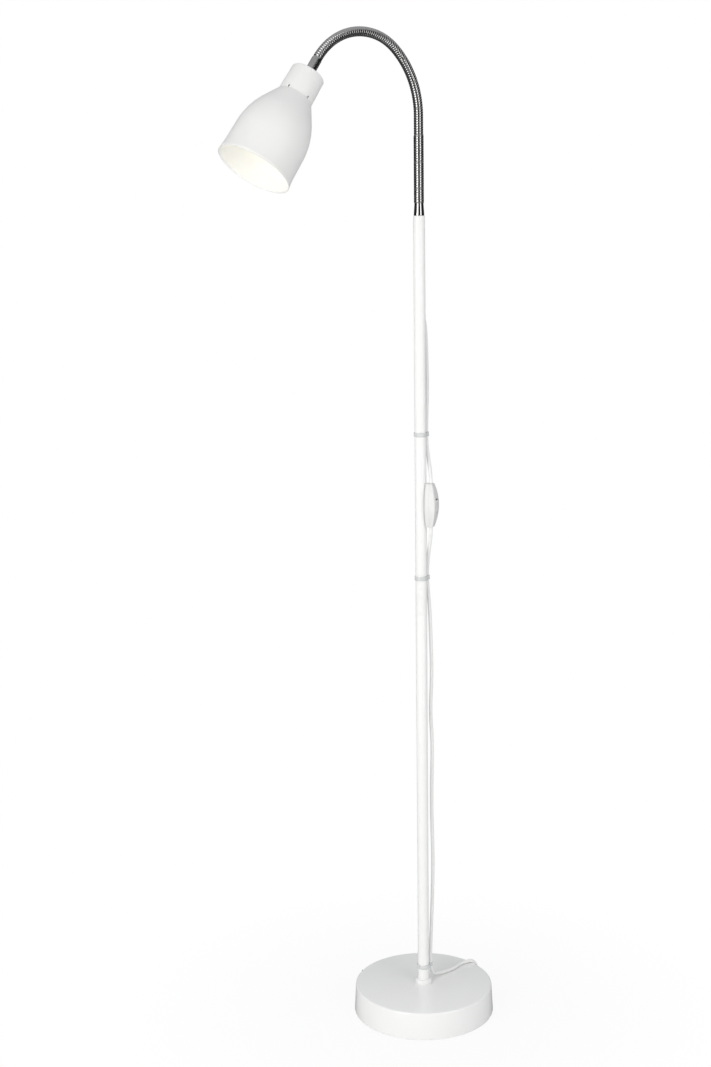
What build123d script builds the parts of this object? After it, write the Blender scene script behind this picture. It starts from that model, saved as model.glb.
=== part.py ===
from build123d import *
import os
from math import asin, ceil, cos, degrees, pi, radians, sin, sqrt, tan

os.makedirs("parts", exist_ok=True)

# Gooseneck reading floor lamp. The origin is the centre of the base's underside, +Z is up,
# the neck bends over in the XZ plane and the lamp head hangs towards -X. Sizes are in mm.

# ---------------------------------------------------------------- driving dimensions
running_gap = 0.3               # play between curved faces that move past each other
fixing_gap = 0.2                # play between a fixing and its hole

# Base
base_height = 40.0
base_rim_radius = 101.8
base_top_radius = 99.6
base_edge_radius = 2.2
cover_wall = 1.6
pad_radius = 97.0
pad_thickness = 2.0
cover_lift = 1.0                # the cover's rim hangs this far above the floor
weight_radius = 96.0
weight_thickness = 13.0
boss_radius = 24.0
recess_radius = 15.0
recess_depth = 12.0
washer_radius = 12.0
washer_thickness = 2.0
foot_nut_flats = 17.0
foot_nut_height = 6.0
foot_stud_end = 1.5             # the stud shows this far below its nut
pad_bevel = 0.5
weight_bevel = 2.0
nut_bevel = 0.6
stud_bevel = 0.8

# Pole
pole_radius = 8.0
pole_wall = 1.0
pole_bottom = 42.0
pole_joint_z = 597.0
pole_top = 1150.0
pole_edge = 0.35                # bevel that shows as a fine line where the tubes meet
collar_radius = 11.8
collar_height = 7.0
collar_bevel = 1.6
stud_radius = 5.0
plug_length = 22.0
joiner_half = 24.0
joiner_bore = 3.5
joiner_bevel = 1.0

# Cord outlet in the back of the pole
outlet_azimuth = 20.0
outlet_drop = 60.0              # the outlet points this many degrees below level
outlet_axis_z = 1030.0          # where the outlet's axis meets the pole's axis
outlet_radius = 4.0
outlet_reach = 18.6
grommet_start = 11.5            # the sleeve begins here along the outlet's axis
grommet_bevel = 0.8
outlet_run = 8.0                # the cord leaves the sleeve straight for this far

# Neck
ferrule_height = 17.0
ferrule_low_radius = 7.1
ferrule_high_radius = 6.1
spigot_radius = 4.9
spigot_length = 14.0
ferrule_band = 2.0              # plain band at a ferrule's wide end
lead_joint = 5.0                # the lead's sheath ends this far below the neck
neck_straight = 114.3
neck_arcs = [(111.4, 49.9), (75.6, 26.2), (88.1, 67.9)]     # radius, turn in degrees
link_count = 10
ribs_per_link = 11
rib_crest = 6.35
rib_valley = 5.75
neck_bore = 3.0
ball_radius = rib_valley
ball_top = 3.3
flare_depth = 2.0               # the bore widens from here below each ball's centre
flare_radius = 4.25
lead_radius = 1.8
lead_gap = 2.4
lead_steps = 9
lead_bend = 20.0                # radius of the cord's bend inside the pole
bend_links = [1, 3, 4, 6, 7, 9]     # joints that bend in the neck's own plane
side_links = [2, 5, 8]              # joints that bend it sideways

# Head, measured along its axis from the shade's rim towards the neck
head_length = 171.0
shade_rim_radius = 50.4
shade_waist = (48.8, 16.0)
shade_shoulder = (48.3, 42.0)
shade_crown = (36.4, 87.0)
shade_top = (23.5, 109.8)
shade_hole_radius = 20.2
shade_wall = 1.0
cap_top = 146.5
cap_low_radius = 23.5
cap_high_radius = 22.5
cap_wall = 1.5
cap_edge_radius = 2.4
vent_count = 5
vent_start = 45.5               # degrees round the cap
vent_width = 2.2
vent_height = 3.6
head_ferrule_radius = 6.7
head_nut_flats = 14.0
head_nut_height = 5.0
holder_mouth = 92.0
holder_radius = 19.5
holder_top = 137.0
holder_flange_radius = 21.4
holder_flange_height = 3.0
holder_bore = 14.6
holder_floor = 120.0
holder_floor_thickness = 4.0
holder_taper = 8.0
holder_top_radius = 9.0
holder_roof = 5.0
terminal_room = 12.0            # radius of the room for the terminals
contact_hole = 3.0
shell_outer = 14.2
shell_inner = 13.6
screw_circle = 8.0
screw_head_radius = 2.4
screw_head_height = 2.0
screw_slot_width = 0.8
screw_slot_depth = 0.8
ring_radius = 21.5
ring_height = 6.0

# Bulb
bulb_radius = 22.5
bulb_centre = 64.2
glass_wall = 1.2
body_radius = 18.0              # where the glass meets the bulb's body
body_spigot = 16.0              # the part of the body that stands up inside the glass
bulb_neck_radius = 13.4
bulb_cap_radius = 13.1
bulb_cap_start = 97.0
bulb_cap_end = 117.0
bulb_cap_bore = 12.0            # the body stands this far into the cap
bulb_cap_grip = 8.0
bulb_cap_shoulder = 11.0        # radius of the cap's folded end
eyelet_radius = 5.0
contact_radius = 3.5
spigot_rise = 1.0
bulb_tip = 119.7
bulb_removal = 30.0

# Cord
cord_radius = 2.5
switch_z = 754.5
switch_azimuth = -56.0
switch_length = 62.0
switch_half_width = 10.5
switch_end_half_width = 5.6
switch_split = 6.5              # height of the cord and of the seam above the switch's back
switch_end_height = 10.2
switch_mid_height = 15.5
switch_wall = 1.6
rocker_pivot = 10.5
rocker_half_length = 8.6
rocker_half_width = 4.7
rocker_rise = 5.6
rocker_tilt = 7.0
rocker_dish = 0.7               # hollow along the rocker's top
rocker_keel = [(7.0, -1.0), (2.4, -2.4), (-2.4, -2.4), (-7.0, -1.0)]
axle_radius = 1.2
axle_reach = 2.0                # the axle stands out this far on each side
axle_hole_radius = 1.25
window_gap = 1.0                # round the rocker, lengthwise
window_side_gap = 0.35
cheek_length = 6.0              # inside walls that carry the axle
cheek_thickness = 2.0
boss_outer = 2.6
boss_hole = 1.25
boss_drop = 1.0
case_screw_radius = 1.2
contact_places = [11.0, -11.0]
contact_post_places = [6.9, -6.9]
contact_size = (9.0, 3.0)
contact_sheet = 0.8
contact_post = 4.0
clip_heights = [853.0, 650.0, 66.0]
clip_cord_places = [(10.73, 0.14), (10.62, -0.05), (11.75, -0.95)]
clip_thickness = 1.1
clip_height = 6.0

# Put-away hank behind the base
hank_azimuth = 34.0
hank_distance = 128.0
hank_lift = 1.0
hank_half_run = 25.0
hank_radii = [21.4, 18.2, 15.1, 18.2, 21.4]      # half-widths of its runs at their ends
hank_waists = [14.6, 11.0, 8.0, 11.0, 14.6]      # and at the tie
hank_layer = 5.6
tie_width = 7.0
tie_thickness = 0.8
tie_gap = 0.4                   # room round the cords inside the tie
tie_top_gap = 0.1

# Mains plug
plug_azimuth = 158.0            # the way its pins point
plug_rear = Vector(29.6, 113.1, 6.9)
plug_width = 35.0
plug_height = 13.6
plug_body_length = 28.0
plug_rear_width = 15.0
plug_rear_height = 10.0
relief_length = 20.0            # tapered sleeve behind the plug
relief_wide = 4.6
relief_narrow = 3.3
pin_radius = 2.0
pin_length = 19.0
pin_spacing = 19.0
pin_root = 8.0
pin_root_radius = 1.6
pin_bevel = 0.7
plug_corner = 4.0

ferrule_top = pole_top + ferrule_height
neck_length = neck_straight + sum(radius * radians(turn) for radius, turn in neck_arcs)
link_length = neck_length / link_count
rib_pitch = link_length / ribs_per_link


# ---------------------------------------------------------------- shared helpers
def neck_plane(s):
    """Cross-section plane of the neck s mm along it from the lower ferrule."""
    x, z, lean = 0.0, ferrule_top, 0.0
    run = min(s, neck_straight)
    z += run
    s -= run
    for radius, turn in neck_arcs:
        step = min(s / radius, radians(turn))
        x -= radius * (cos(lean) - cos(lean + step))
        z += radius * (sin(lean + step) - sin(lean))
        lean += step
        s -= radius * step
    origin = (x - s * sin(lean), 0, z + s * cos(lean))
    return Plane(origin=origin, x_dir=(0, 1, 0), z_dir=(-sin(lean), 0, cos(lean)))


def save(piece, name):
    """Label a finished piece and write it."""
    piece.label = name
    export_step(piece, f"parts/{name}.step")
    print(f"{name}: {len(piece.solids())} solid(s), {piece.volume / 1000:.2f} cm3")


def hinge(name, holder, mover, axis, swing):
    """Turning joint between two pieces, at 0 where the pieces stand."""
    pivot = RevoluteJoint(name, holder, axis, angular_range=swing)
    seat = RigidJoint(name + "_seat", mover, pivot.location)
    pivot.connect_to(seat, angle=0)


def slider(name, holder, mover, axis, travel):
    """Sliding joint between two pieces, at 0 where the pieces stand."""
    rail = LinearJoint(name, holder, axis, linear_range=travel)
    seat = RigidJoint(name + "_seat", mover, rail.location)
    rail.connect_to(seat, position=0)


def corner_radii(points):
    """Largest smooth radius at each inner corner of a route of straight runs."""
    radii = []
    for before, here, after in zip(points, points[1:], points[2:]):
        into = Vector(*here) - Vector(*before)
        out = Vector(*after) - Vector(*here)
        turn = radians(into.get_angle(out))
        radii.append(0.45 * min(into.length, out.length) / tan(turn / 2))
    return radii


def report_route(name, points, line, solid, radius=cord_radius):
    """Print a cord's runs, radii and how well its solid fills its length."""
    runs = [(Vector(*b) - Vector(*a)).length for a, b in zip(points, points[1:])]
    radii = corner_radii(points)
    fill = solid.volume / (pi * radius**2 * line.length)
    print(f"{name}: length {line.length:.1f}, volume over section times length {fill:.4f}")
    print("  runs", " ".join(f"{run:.0f}" for run in runs))
    print("  radii", " ".join(f"{value:.0f}" for value in radii))


def around(radius, azimuth, z=0.0):
    """Point at a radius and azimuth about the pole's axis."""
    return Vector(radius * cos(radians(azimuth)), radius * sin(radians(azimuth)), z)


# ---------------------------------------------------------------- base
cover_top = base_height - cover_wall

with BuildPart() as base_cover:
    with BuildSketch(Plane.XZ):
        with BuildLine():
            Polyline(
                (base_rim_radius, cover_lift),
                (base_top_radius, base_height),
                (stud_radius + fixing_gap, base_height),
                (stud_radius + fixing_gap, cover_top),
                (base_top_radius - cover_wall, cover_top),
                (base_rim_radius - cover_wall, cover_lift),
                close=True,
            )
        make_face()
    revolve(axis=Axis.Z)
    top_edges = base_cover.edges().filter_by(GeomType.CIRCLE).group_by(Axis.Z)[-1]
    fillet(top_edges.sort_by(SortBy.RADIUS)[-1], radius=base_edge_radius)
save(base_cover.part, "base_cover")

with BuildPart() as base_pad:
    Cylinder(pad_radius, pad_thickness, align=(Align.CENTER, Align.CENTER, Align.MIN))
    chamfer(base_pad.edges().group_by(Axis.Z)[0], length=pad_bevel)
save(base_pad.part, "base_pad")

with BuildPart() as base_weight:
    with BuildSketch(Plane.XY.offset(pad_thickness)):
        Circle(weight_radius)
    extrude(amount=weight_thickness)
    chamfer(base_weight.edges().group_by(Axis.Z)[-1], length=weight_bevel)
    with BuildSketch(Plane.XY.offset(pad_thickness)):
        Circle(boss_radius)
    extrude(amount=cover_top - pad_thickness)
    with BuildSketch(Plane.XY.offset(pad_thickness)):
        Circle(recess_radius)
    extrude(amount=recess_depth, mode=Mode.SUBTRACT)
    with BuildSketch(Plane.XY.offset(pad_thickness)):
        Circle(stud_radius + fixing_gap)
    extrude(amount=cover_top, mode=Mode.SUBTRACT)
save(base_weight.part, "base_weight")

recess_top = pad_thickness + recess_depth
with BuildPart() as base_washer:
    with BuildSketch(Plane.XY.offset(recess_top)):
        Circle(washer_radius)
        Circle(stud_radius + fixing_gap, mode=Mode.SUBTRACT)
    extrude(amount=-washer_thickness)
save(base_washer.part, "base_washer")

nut_top = recess_top - washer_thickness
with BuildPart() as base_nut:
    with BuildSketch(Plane.XY.offset(nut_top)):
        RegularPolygon(foot_nut_flats / 2, 6, major_radius=False)
        Circle(stud_radius, mode=Mode.SUBTRACT)
    extrude(amount=-foot_nut_height)
    chamfer(base_nut.edges().filter_by(GeomType.LINE).group_by(Axis.Z)[0], length=nut_bevel)
save(base_nut.part, "base_nut")

# ---------------------------------------------------------------- pole
with BuildPart() as foot_collar:
    with BuildSketch(Plane.XZ):
        with BuildLine():
            Polyline(
                (stud_radius + fixing_gap, base_height),
                (collar_radius, base_height),
                (collar_radius, base_height + collar_height - collar_bevel),
                (collar_radius - collar_bevel, base_height + collar_height),
                (pole_radius, base_height + collar_height),
                (pole_radius, pole_bottom),
                (stud_radius + fixing_gap, pole_bottom),
                close=True,
            )
        make_face()
    revolve(axis=Axis.Z)
save(foot_collar.part, "foot_collar")

with BuildPart() as foot_stud:
    with BuildSketch(Plane.XY.offset(pole_bottom)):
        Circle(pole_radius - pole_wall)
    extrude(amount=plug_length)
    with BuildSketch(Plane.XY.offset(pole_bottom)):
        Circle(stud_radius)
    extrude(amount=-(pole_bottom - nut_top + foot_nut_height + foot_stud_end))
    chamfer(foot_stud.edges().group_by(Axis.Z)[0], length=stud_bevel)
save(foot_stud.part, "foot_stud")

outlet_out = around(cos(radians(outlet_drop)), outlet_azimuth, -sin(radians(outlet_drop)))
outlet_start = Vector(0, 0, outlet_axis_z)
outlet_end = outlet_start + outlet_out * outlet_reach
outlet_side = around(1, outlet_azimuth + 90)
outlet_plane = Plane(origin=outlet_start, x_dir=outlet_side, z_dir=outlet_out)

with BuildPart() as pole_lower:
    with BuildSketch(Plane.XY.offset(pole_bottom)):
        Circle(pole_radius)
        Circle(pole_radius - pole_wall, mode=Mode.SUBTRACT)
    extrude(amount=pole_joint_z - pole_bottom)
    outer_rim = pole_lower.edges().group_by(Axis.Z)[-1].sort_by(SortBy.RADIUS)[-1]
    chamfer(outer_rim, length=pole_edge)
save(pole_lower.part, "pole_lower")

with BuildPart() as pole_upper:
    with BuildSketch(Plane.XY.offset(pole_joint_z)):
        Circle(pole_radius)
        Circle(pole_radius - pole_wall, mode=Mode.SUBTRACT)
    extrude(amount=pole_top - pole_joint_z)
    chamfer(pole_upper.edges().group_by(Axis.Z)[0].sort_by(SortBy.RADIUS)[-1], length=pole_edge)
    chamfer(pole_upper.edges().group_by(Axis.Z)[-1].sort_by(SortBy.RADIUS)[-1], length=pole_edge)
    with BuildSketch(outlet_plane.offset(outlet_radius)):
        Circle(outlet_radius)
    extrude(amount=outlet_reach, mode=Mode.SUBTRACT)
save(pole_upper.part, "pole_upper")

with BuildPart() as pole_joiner:
    with BuildSketch(Plane.XY.offset(pole_joint_z - joiner_half)):
        Circle(pole_radius - pole_wall)
        Circle(joiner_bore, mode=Mode.SUBTRACT)
    extrude(amount=2 * joiner_half)
    chamfer(pole_joiner.edges().group_by(Axis.Z)[-1].sort_by(SortBy.RADIUS)[-1], length=joiner_bevel)
save(pole_joiner.part, "pole_joiner")

with BuildPart() as pole_top_bush:
    with BuildSketch(Plane.XY.offset(pole_top)):
        Circle(pole_radius - pole_wall)
        Circle(spigot_radius, mode=Mode.SUBTRACT)
    extrude(amount=-plug_length)
save(pole_top_bush.part, "pole_top_bush")

# The outlet sleeve lines the slanted hole and ends where the cord starts outside.
with BuildPart() as cord_grommet:
    with BuildSketch(outlet_plane.offset(grommet_start)):
        Circle(outlet_radius)
    extrude(amount=outlet_reach - grommet_start)
    tip = cord_grommet.edges().filter_by(GeomType.CIRCLE).sort_by(
        lambda edge: (edge.center() - outlet_end).length)[0]
    chamfer(tip, length=grommet_bevel)
    with BuildSketch(outlet_plane):
        Circle(cord_radius)
    extrude(amount=outlet_reach, mode=Mode.SUBTRACT)
save(cord_grommet.part, "cord_grommet")

# ---------------------------------------------------------------- neck
with BuildPart() as lower_ferrule:
    with BuildSketch(Plane.XZ):
        with BuildLine():
            Polyline(
                (neck_bore, pole_top - spigot_length),
                (spigot_radius, pole_top - spigot_length),
                (spigot_radius, pole_top),
                (ferrule_low_radius, pole_top),
                (ferrule_low_radius, pole_top + ferrule_band),
                (ferrule_high_radius, ferrule_top),
                (neck_bore, ferrule_top),
                close=True,
            )
        make_face()
    revolve(axis=Axis.Z)
save(lower_ferrule.part, "lower_ferrule")

rib_shape = [(0.0, rib_valley), (0.2, rib_crest), (0.6, rib_crest), (0.8, rib_valley)]
cup_radius = ball_radius + running_gap
ball_latitude = degrees(asin(ball_top / ball_radius))
links = []
leads = {}
for number in range(1, link_count + 1):
    start = (number - 1) * link_length
    end = number * link_length
    has_cup = number > 1
    has_ball = number < link_count

    with BuildPart() as neck_link:
        for rib in range(int(has_cup), ribs_per_link):
            for share, radius in rib_shape:
                with BuildSketch(neck_plane(start + (rib + share) * rib_pitch)):
                    Circle(radius)
        with BuildSketch(neck_plane(end)):
            Circle(rib_valley)
        loft(ruled=True)
        if has_ball:
            with Locations(neck_plane(end).location):
                Sphere(ball_radius, arc_size2=ball_latitude,
                       align=(Align.CENTER, Align.CENTER, Align.NONE))
        if has_cup:
            with Locations(neck_plane(start).location):
                Sphere(cup_radius, mode=Mode.SUBTRACT)
        for step in range(lead_steps + 1):
            with BuildSketch(neck_plane(start - 1 + step * (link_length + 2) / lead_steps)):
                Circle(neck_bore)
        loft(ruled=True, mode=Mode.SUBTRACT)
        if has_ball:
            with Locations(neck_plane(end).offset(-flare_depth).location):
                Cone(neck_bore, flare_radius, flare_depth + ball_top + 0.1,
                     align=(Align.CENTER, Align.CENTER, Align.MIN), mode=Mode.SUBTRACT)
    save(neck_link.part, f"neck_link_{number:02d}")
    links.append(neck_link.part)

    if has_cup and has_ball:
        first = start + lead_gap
        with BuildPart() as neck_lead:
            for step in range(lead_steps + 1):
                with BuildSketch(neck_plane(first + step * (end - first) / lead_steps)):
                    Circle(lead_radius)
            loft(ruled=True)
            with Locations(neck_plane(end).location):
                Sphere(lead_radius)
        save(neck_lead.part, f"neck_lead_{number:02d}")
        leads[number] = neck_lead.part

# The lead comes in through the outlet, climbs the pole and is bare of its sheath in the neck.
lead_bare = ferrule_top - lead_joint
lead_route = [tuple(outlet_end), tuple(outlet_start), (0, 0, lead_bare)]
with BuildPart() as pole_lead:
    with BuildLine() as lead_line:
        FilletPolyline(*lead_route, radius=lead_bend)
    with BuildSketch(Plane(origin=outlet_end, z_dir=outlet_start - outlet_end)):
        Circle(cord_radius)
    sweep(path=lead_line.wires()[0])
    with BuildSketch(Plane.XY.offset(lead_bare)):
        Circle(lead_radius)
    extrude(amount=lead_joint + link_length)
    with Locations(neck_plane(link_length).location):
        Sphere(lead_radius)
save(pole_lead.part, "pole_lead")
print(f"pole_lead: bend radius {lead_bend:.0f}, length to the neck {lead_line.wires()[0].length:.0f}")

# ---------------------------------------------------------------- head
hose_end = neck_plane(neck_length)
head_up = -hose_end.z_dir
rim_centre = hose_end.origin - head_up * head_length
head_axis = Axis(rim_centre, head_up)
head_section = Plane(origin=rim_centre, x_dir=(0, 1, 0), z_dir=Vector(0, 1, 0).cross(head_up))


def head_level(t):
    """Plane square to the head's axis, t mm above the shade's rim."""
    return Plane(origin=rim_centre + head_up * t, x_dir=(0, 1, 0), z_dir=head_up)


with BuildPart() as shade:
    with BuildSketch(head_section):
        with BuildLine():
            flare = ThreePointArc((shade_rim_radius, 0), (49.45, 7.5), shade_waist)
            skirt = Line(shade_waist, shade_shoulder)
            shoulder = TangentArc(shade_shoulder, shade_crown, tangent=skirt % 1)
            crown = Line(shade_crown, shade_top)
            Line(shade_top, (shade_hole_radius, shade_top[1]))
            offset(amount=shade_wall, side=Side.LEFT)
        make_face()
    revolve(axis=head_axis)
save(shade.part, "shade")

with BuildPart() as head_cap:
    with BuildSketch(head_section):
        with BuildLine():
            Polyline(
                (cap_low_radius, shade_top[1]),
                (cap_high_radius, cap_top),
                (spigot_radius + fixing_gap, cap_top),
                (spigot_radius + fixing_gap, cap_top - cap_wall),
                (cap_high_radius - cap_wall, cap_top - cap_wall),
                (cap_low_radius - cap_wall, shade_top[1]),
                close=True,
            )
        make_face()
    revolve(axis=head_axis)
    rims = head_cap.edges().filter_by(GeomType.CIRCLE).sort_by(SortBy.RADIUS)
    fillet(min(rims, key=lambda edge: abs(edge.radius - cap_high_radius)), radius=cap_edge_radius)
    with BuildSketch(head_level(shade_top[1])):
        with PolarLocations(cap_low_radius, vent_count, start_angle=vent_start):
            Rectangle(3 * cap_wall, vent_width)
    extrude(amount=vent_height, mode=Mode.SUBTRACT)
save(head_cap.part, "head_cap")

with BuildPart() as upper_ferrule:
    with BuildSketch(head_section):
        with BuildLine():
            Polyline(
                (neck_bore, cap_top - spigot_length),
                (spigot_radius, cap_top - spigot_length),
                (spigot_radius, cap_top),
                (head_ferrule_radius, cap_top),
                (head_ferrule_radius, head_length - ferrule_band),
                (ferrule_high_radius, head_length),
                (neck_bore, head_length),
                close=True,
            )
        make_face()
    revolve(axis=head_axis)
save(upper_ferrule.part, "upper_ferrule")

with BuildPart() as head_nut:
    with BuildSketch(head_level(cap_top - cap_wall)):
        RegularPolygon(head_nut_flats / 2, 6, major_radius=False)
        Circle(spigot_radius, mode=Mode.SUBTRACT)
    extrude(amount=-head_nut_height)
save(head_nut.part, "head_nut")

flange_low = shade_top[1]
floor_top = holder_floor + holder_floor_thickness
with BuildPart() as lampholder:
    with BuildSketch(head_section):
        with BuildLine():
            Polyline(
                (holder_bore, holder_mouth),
                (holder_radius, holder_mouth),
                (holder_radius, flange_low),
                (holder_flange_radius, flange_low),
                (holder_flange_radius, flange_low + holder_flange_height),
                (holder_radius, flange_low + holder_flange_height),
                (holder_radius, holder_top - holder_taper),
                (holder_top_radius, holder_top),
                (spigot_radius, holder_top),
                (spigot_radius, holder_top - holder_roof),
                (terminal_room, holder_top - holder_roof - 2),
                (terminal_room, floor_top),
                (contact_hole, floor_top),
                (contact_hole, holder_floor),
                (holder_bore, holder_floor),
                close=True,
            )
        make_face()
    revolve(axis=head_axis)
save(lampholder.part, "lampholder")

with BuildPart() as holder_shell:
    with BuildSketch(head_level(bulb_cap_start + 1)):
        Circle(shell_outer)
        Circle(shell_inner, mode=Mode.SUBTRACT)
    extrude(amount=holder_floor - bulb_cap_start - 1)
save(holder_shell.part, "holder_shell")

with BuildPart() as holder_contact:
    with BuildSketch(head_level(bulb_tip)):
        Circle(contact_hole - 0.1)
    extrude(amount=floor_top - bulb_tip)
save(holder_contact.part, "holder_contact")

with BuildPart() as terminal_screws:
    with BuildSketch(head_level(floor_top)):
        with PolarLocations(screw_circle, 2):
            Circle(screw_head_radius)
    extrude(amount=screw_head_height)
    with BuildSketch(head_level(floor_top + screw_head_height - screw_slot_depth)):
        with PolarLocations(screw_circle, 2):
            Rectangle(screw_slot_width, 2 * screw_head_radius + 1)
    extrude(amount=2 * screw_slot_depth, mode=Mode.SUBTRACT)
save(terminal_screws.part, "terminal_screws")

with BuildPart() as shade_ring:
    with BuildSketch(head_level(shade_top[1] - shade_wall)):
        Circle(ring_radius)
        Circle(holder_radius, mode=Mode.SUBTRACT)
    extrude(amount=-ring_height)
save(shade_ring.part, "shade_ring")

# The head's lead fills the last link, passes the ferrule and ends at the holder's floor.
last_start = (link_count - 1) * link_length + lead_gap
with BuildPart() as head_lead:
    for step in range(lead_steps + 1):
        with BuildSketch(neck_plane(last_start + step * (neck_length - last_start) / lead_steps)):
            Circle(lead_radius)
    loft(ruled=True)
    with BuildSketch(head_level(head_length)):
        Circle(lead_radius)
    extrude(amount=-(head_length - floor_top))
save(head_lead.part, "head_lead")

# ---------------------------------------------------------------- bulb
glass_edge = bulb_centre + sqrt(bulb_radius**2 - body_radius**2)
with BuildPart() as bulb_globe:
    with Locations(head_level(bulb_centre).location):
        Sphere(bulb_radius)
        Sphere(bulb_radius - glass_wall, mode=Mode.SUBTRACT)
    split(bisect_by=head_level(glass_edge), keep=Keep.BOTTOM)
save(bulb_globe.part, "bulb_globe")

with BuildPart() as bulb_body:
    with BuildSketch(head_section):
        with BuildLine():
            Polyline(
                (0, glass_edge - spigot_rise),
                (body_spigot, glass_edge - spigot_rise),
                (body_spigot, glass_edge),
                (body_radius, glass_edge),
                (bulb_neck_radius + 0.8, holder_mouth - 2),
                (bulb_neck_radius, bulb_cap_start),
                (bulb_cap_bore, bulb_cap_start),
                (bulb_cap_bore, bulb_cap_start + bulb_cap_grip),
                (0, bulb_cap_start + bulb_cap_grip),
                close=True,
            )
        make_face()
    revolve(axis=head_axis)
save(bulb_body.part, "bulb_body")

eyelet_low = bulb_cap_end + 0.6
with BuildPart() as bulb_cap:
    with BuildSketch(head_section):
        with BuildLine():
            Polyline(
                (bulb_cap_bore, bulb_cap_start),
                (bulb_cap_radius, bulb_cap_start),
                (bulb_cap_radius, bulb_cap_end),
                (bulb_cap_shoulder, bulb_cap_end + 0.8),
                (eyelet_radius, bulb_cap_end + 1.6),
                (eyelet_radius, eyelet_low),
                (bulb_cap_shoulder, bulb_cap_end - 0.6),
                (bulb_cap_bore, bulb_cap_end - 1.2),
                close=True,
            )
        make_face()
    revolve(axis=head_axis)
save(bulb_cap.part, "bulb_cap")

with BuildPart() as bulb_contact:
    with BuildSketch(head_level(eyelet_low)):
        Circle(eyelet_radius)
    extrude(amount=1.0)
    with BuildSketch(head_level(eyelet_low)):
        Circle(contact_radius)
    extrude(amount=bulb_tip - running_gap - eyelet_low)
save(bulb_contact.part, "bulb_contact")

# ---------------------------------------------------------------- switch on the cord
switch_out = around(1, switch_azimuth)
switch_seat = Plane(
    origin=around(pole_radius + running_gap, switch_azimuth, switch_z),
    x_dir=(0, 0, 1),
    z_dir=switch_out,
)
switch_side = Plane(origin=switch_seat.origin, x_dir=(0, 0, 1), z_dir=-switch_seat.y_dir)
switch_half = switch_length / 2
cord_level = switch_seat.offset(switch_split)
switch_entry_x = switch_seat.origin.X + switch_out.X * switch_split
switch_entry_y = switch_seat.origin.Y + switch_out.Y * switch_split


def switch_dome(inset, low):
    """Domed block inside the switch's outline, set in by inset, from low upwards."""
    end = switch_half - inset
    with BuildPart() as block:
        with BuildSketch(switch_seat.offset(low)):
            with BuildLine():
                ThreePointArc((-end, switch_end_half_width - inset), (0, switch_half_width - inset),
                              (end, switch_end_half_width - inset))
                ThreePointArc((-end, inset - switch_end_half_width), (0, inset - switch_half_width),
                              (end, inset - switch_end_half_width))
                Line((-end, switch_end_half_width - inset), (-end, inset - switch_end_half_width))
                Line((end, switch_end_half_width - inset), (end, inset - switch_end_half_width))
            make_face()
        extrude(amount=switch_mid_height)
        with BuildSketch(switch_side):
            with BuildLine():
                ThreePointArc((-switch_half - 1, switch_end_height - inset),
                              (0, switch_mid_height - inset),
                              (switch_half + 1, switch_end_height - inset))
                Polyline((switch_half + 1, switch_end_height - inset), (switch_half + 1, 0),
                         (-switch_half - 1, 0), (-switch_half - 1, switch_end_height - inset))
            make_face()
        extrude(amount=switch_half_width + 1, both=True, mode=Mode.INTERSECT)
    return block.part


switch_block = switch_dome(0, 0)
switch_room = switch_dome(switch_wall, switch_wall)
screw_places = [(22.0, 4.6), (-22.0, -4.6)]

with BuildPart() as switch_back:
    add(switch_block)
    split(bisect_by=cord_level, keep=Keep.BOTTOM)
    add(switch_room, mode=Mode.SUBTRACT)
    with BuildSketch(Plane(origin=cord_level.origin - Vector(0, 0, switch_half + 1), z_dir=(0, 0, 1))):
        Circle(cord_radius)
    extrude(amount=switch_length + 2, mode=Mode.SUBTRACT)
    with BuildSketch(switch_seat):
        with Locations(*screw_places):
            Circle(boss_outer)
    extrude(amount=switch_split - boss_drop)
    with BuildSketch(switch_seat):
        with Locations(*screw_places):
            Circle(boss_hole)
    extrude(amount=switch_split, mode=Mode.SUBTRACT)
save(switch_back.part, "switch_back")

cheek_place = rocker_half_width + window_side_gap + cheek_thickness / 2
with BuildPart() as switch_cover:
    add(switch_block)
    split(bisect_by=cord_level, keep=Keep.TOP)
    add(switch_room, mode=Mode.SUBTRACT)
    with BuildSketch(Plane(origin=cord_level.origin - Vector(0, 0, switch_half + 1), z_dir=(0, 0, 1))):
        Circle(cord_radius)
    extrude(amount=switch_length + 2, mode=Mode.SUBTRACT)
    with BuildSketch(switch_seat.offset(switch_mid_height - 6)):
        Rectangle(2 * (rocker_half_length + window_gap), 2 * (rocker_half_width + window_side_gap))
    extrude(amount=8, mode=Mode.SUBTRACT)
    with BuildSketch(switch_seat.offset(rocker_pivot - 2)):
        with Locations((0, cheek_place), (0, -cheek_place)):
            Rectangle(cheek_length, cheek_thickness)
    extrude(amount=switch_mid_height - rocker_pivot + 1.0)
    with BuildSketch(switch_side.offset(-switch_half_width)):
        with Locations((0, rocker_pivot)):
            Circle(axle_hole_radius)
    extrude(amount=2 * switch_half_width, mode=Mode.SUBTRACT)
save(switch_cover.part, "switch_cover")

rocker_lean = radians(rocker_tilt)
rocker_plane = Plane(
    origin=switch_seat.origin + switch_out * rocker_pivot,
    x_dir=Vector(0, 0, 1) * cos(rocker_lean) + switch_out * sin(rocker_lean),
    z_dir=switch_side.z_dir,
)
with BuildPart() as switch_rocker:
    with BuildSketch(rocker_plane):
        with BuildLine():
            Polyline((rocker_half_length, rocker_rise), *rocker_keel,
                     (-rocker_half_length, rocker_rise))
            ThreePointArc((-rocker_half_length, rocker_rise), (0, rocker_rise - rocker_dish),
                          (rocker_half_length, rocker_rise))
        make_face()
    extrude(amount=rocker_half_width, both=True)
    with BuildSketch(rocker_plane):
        Circle(axle_radius)
    extrude(amount=rocker_half_width + axle_reach, both=True)
save(switch_rocker.part, "switch_rocker")

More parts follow.
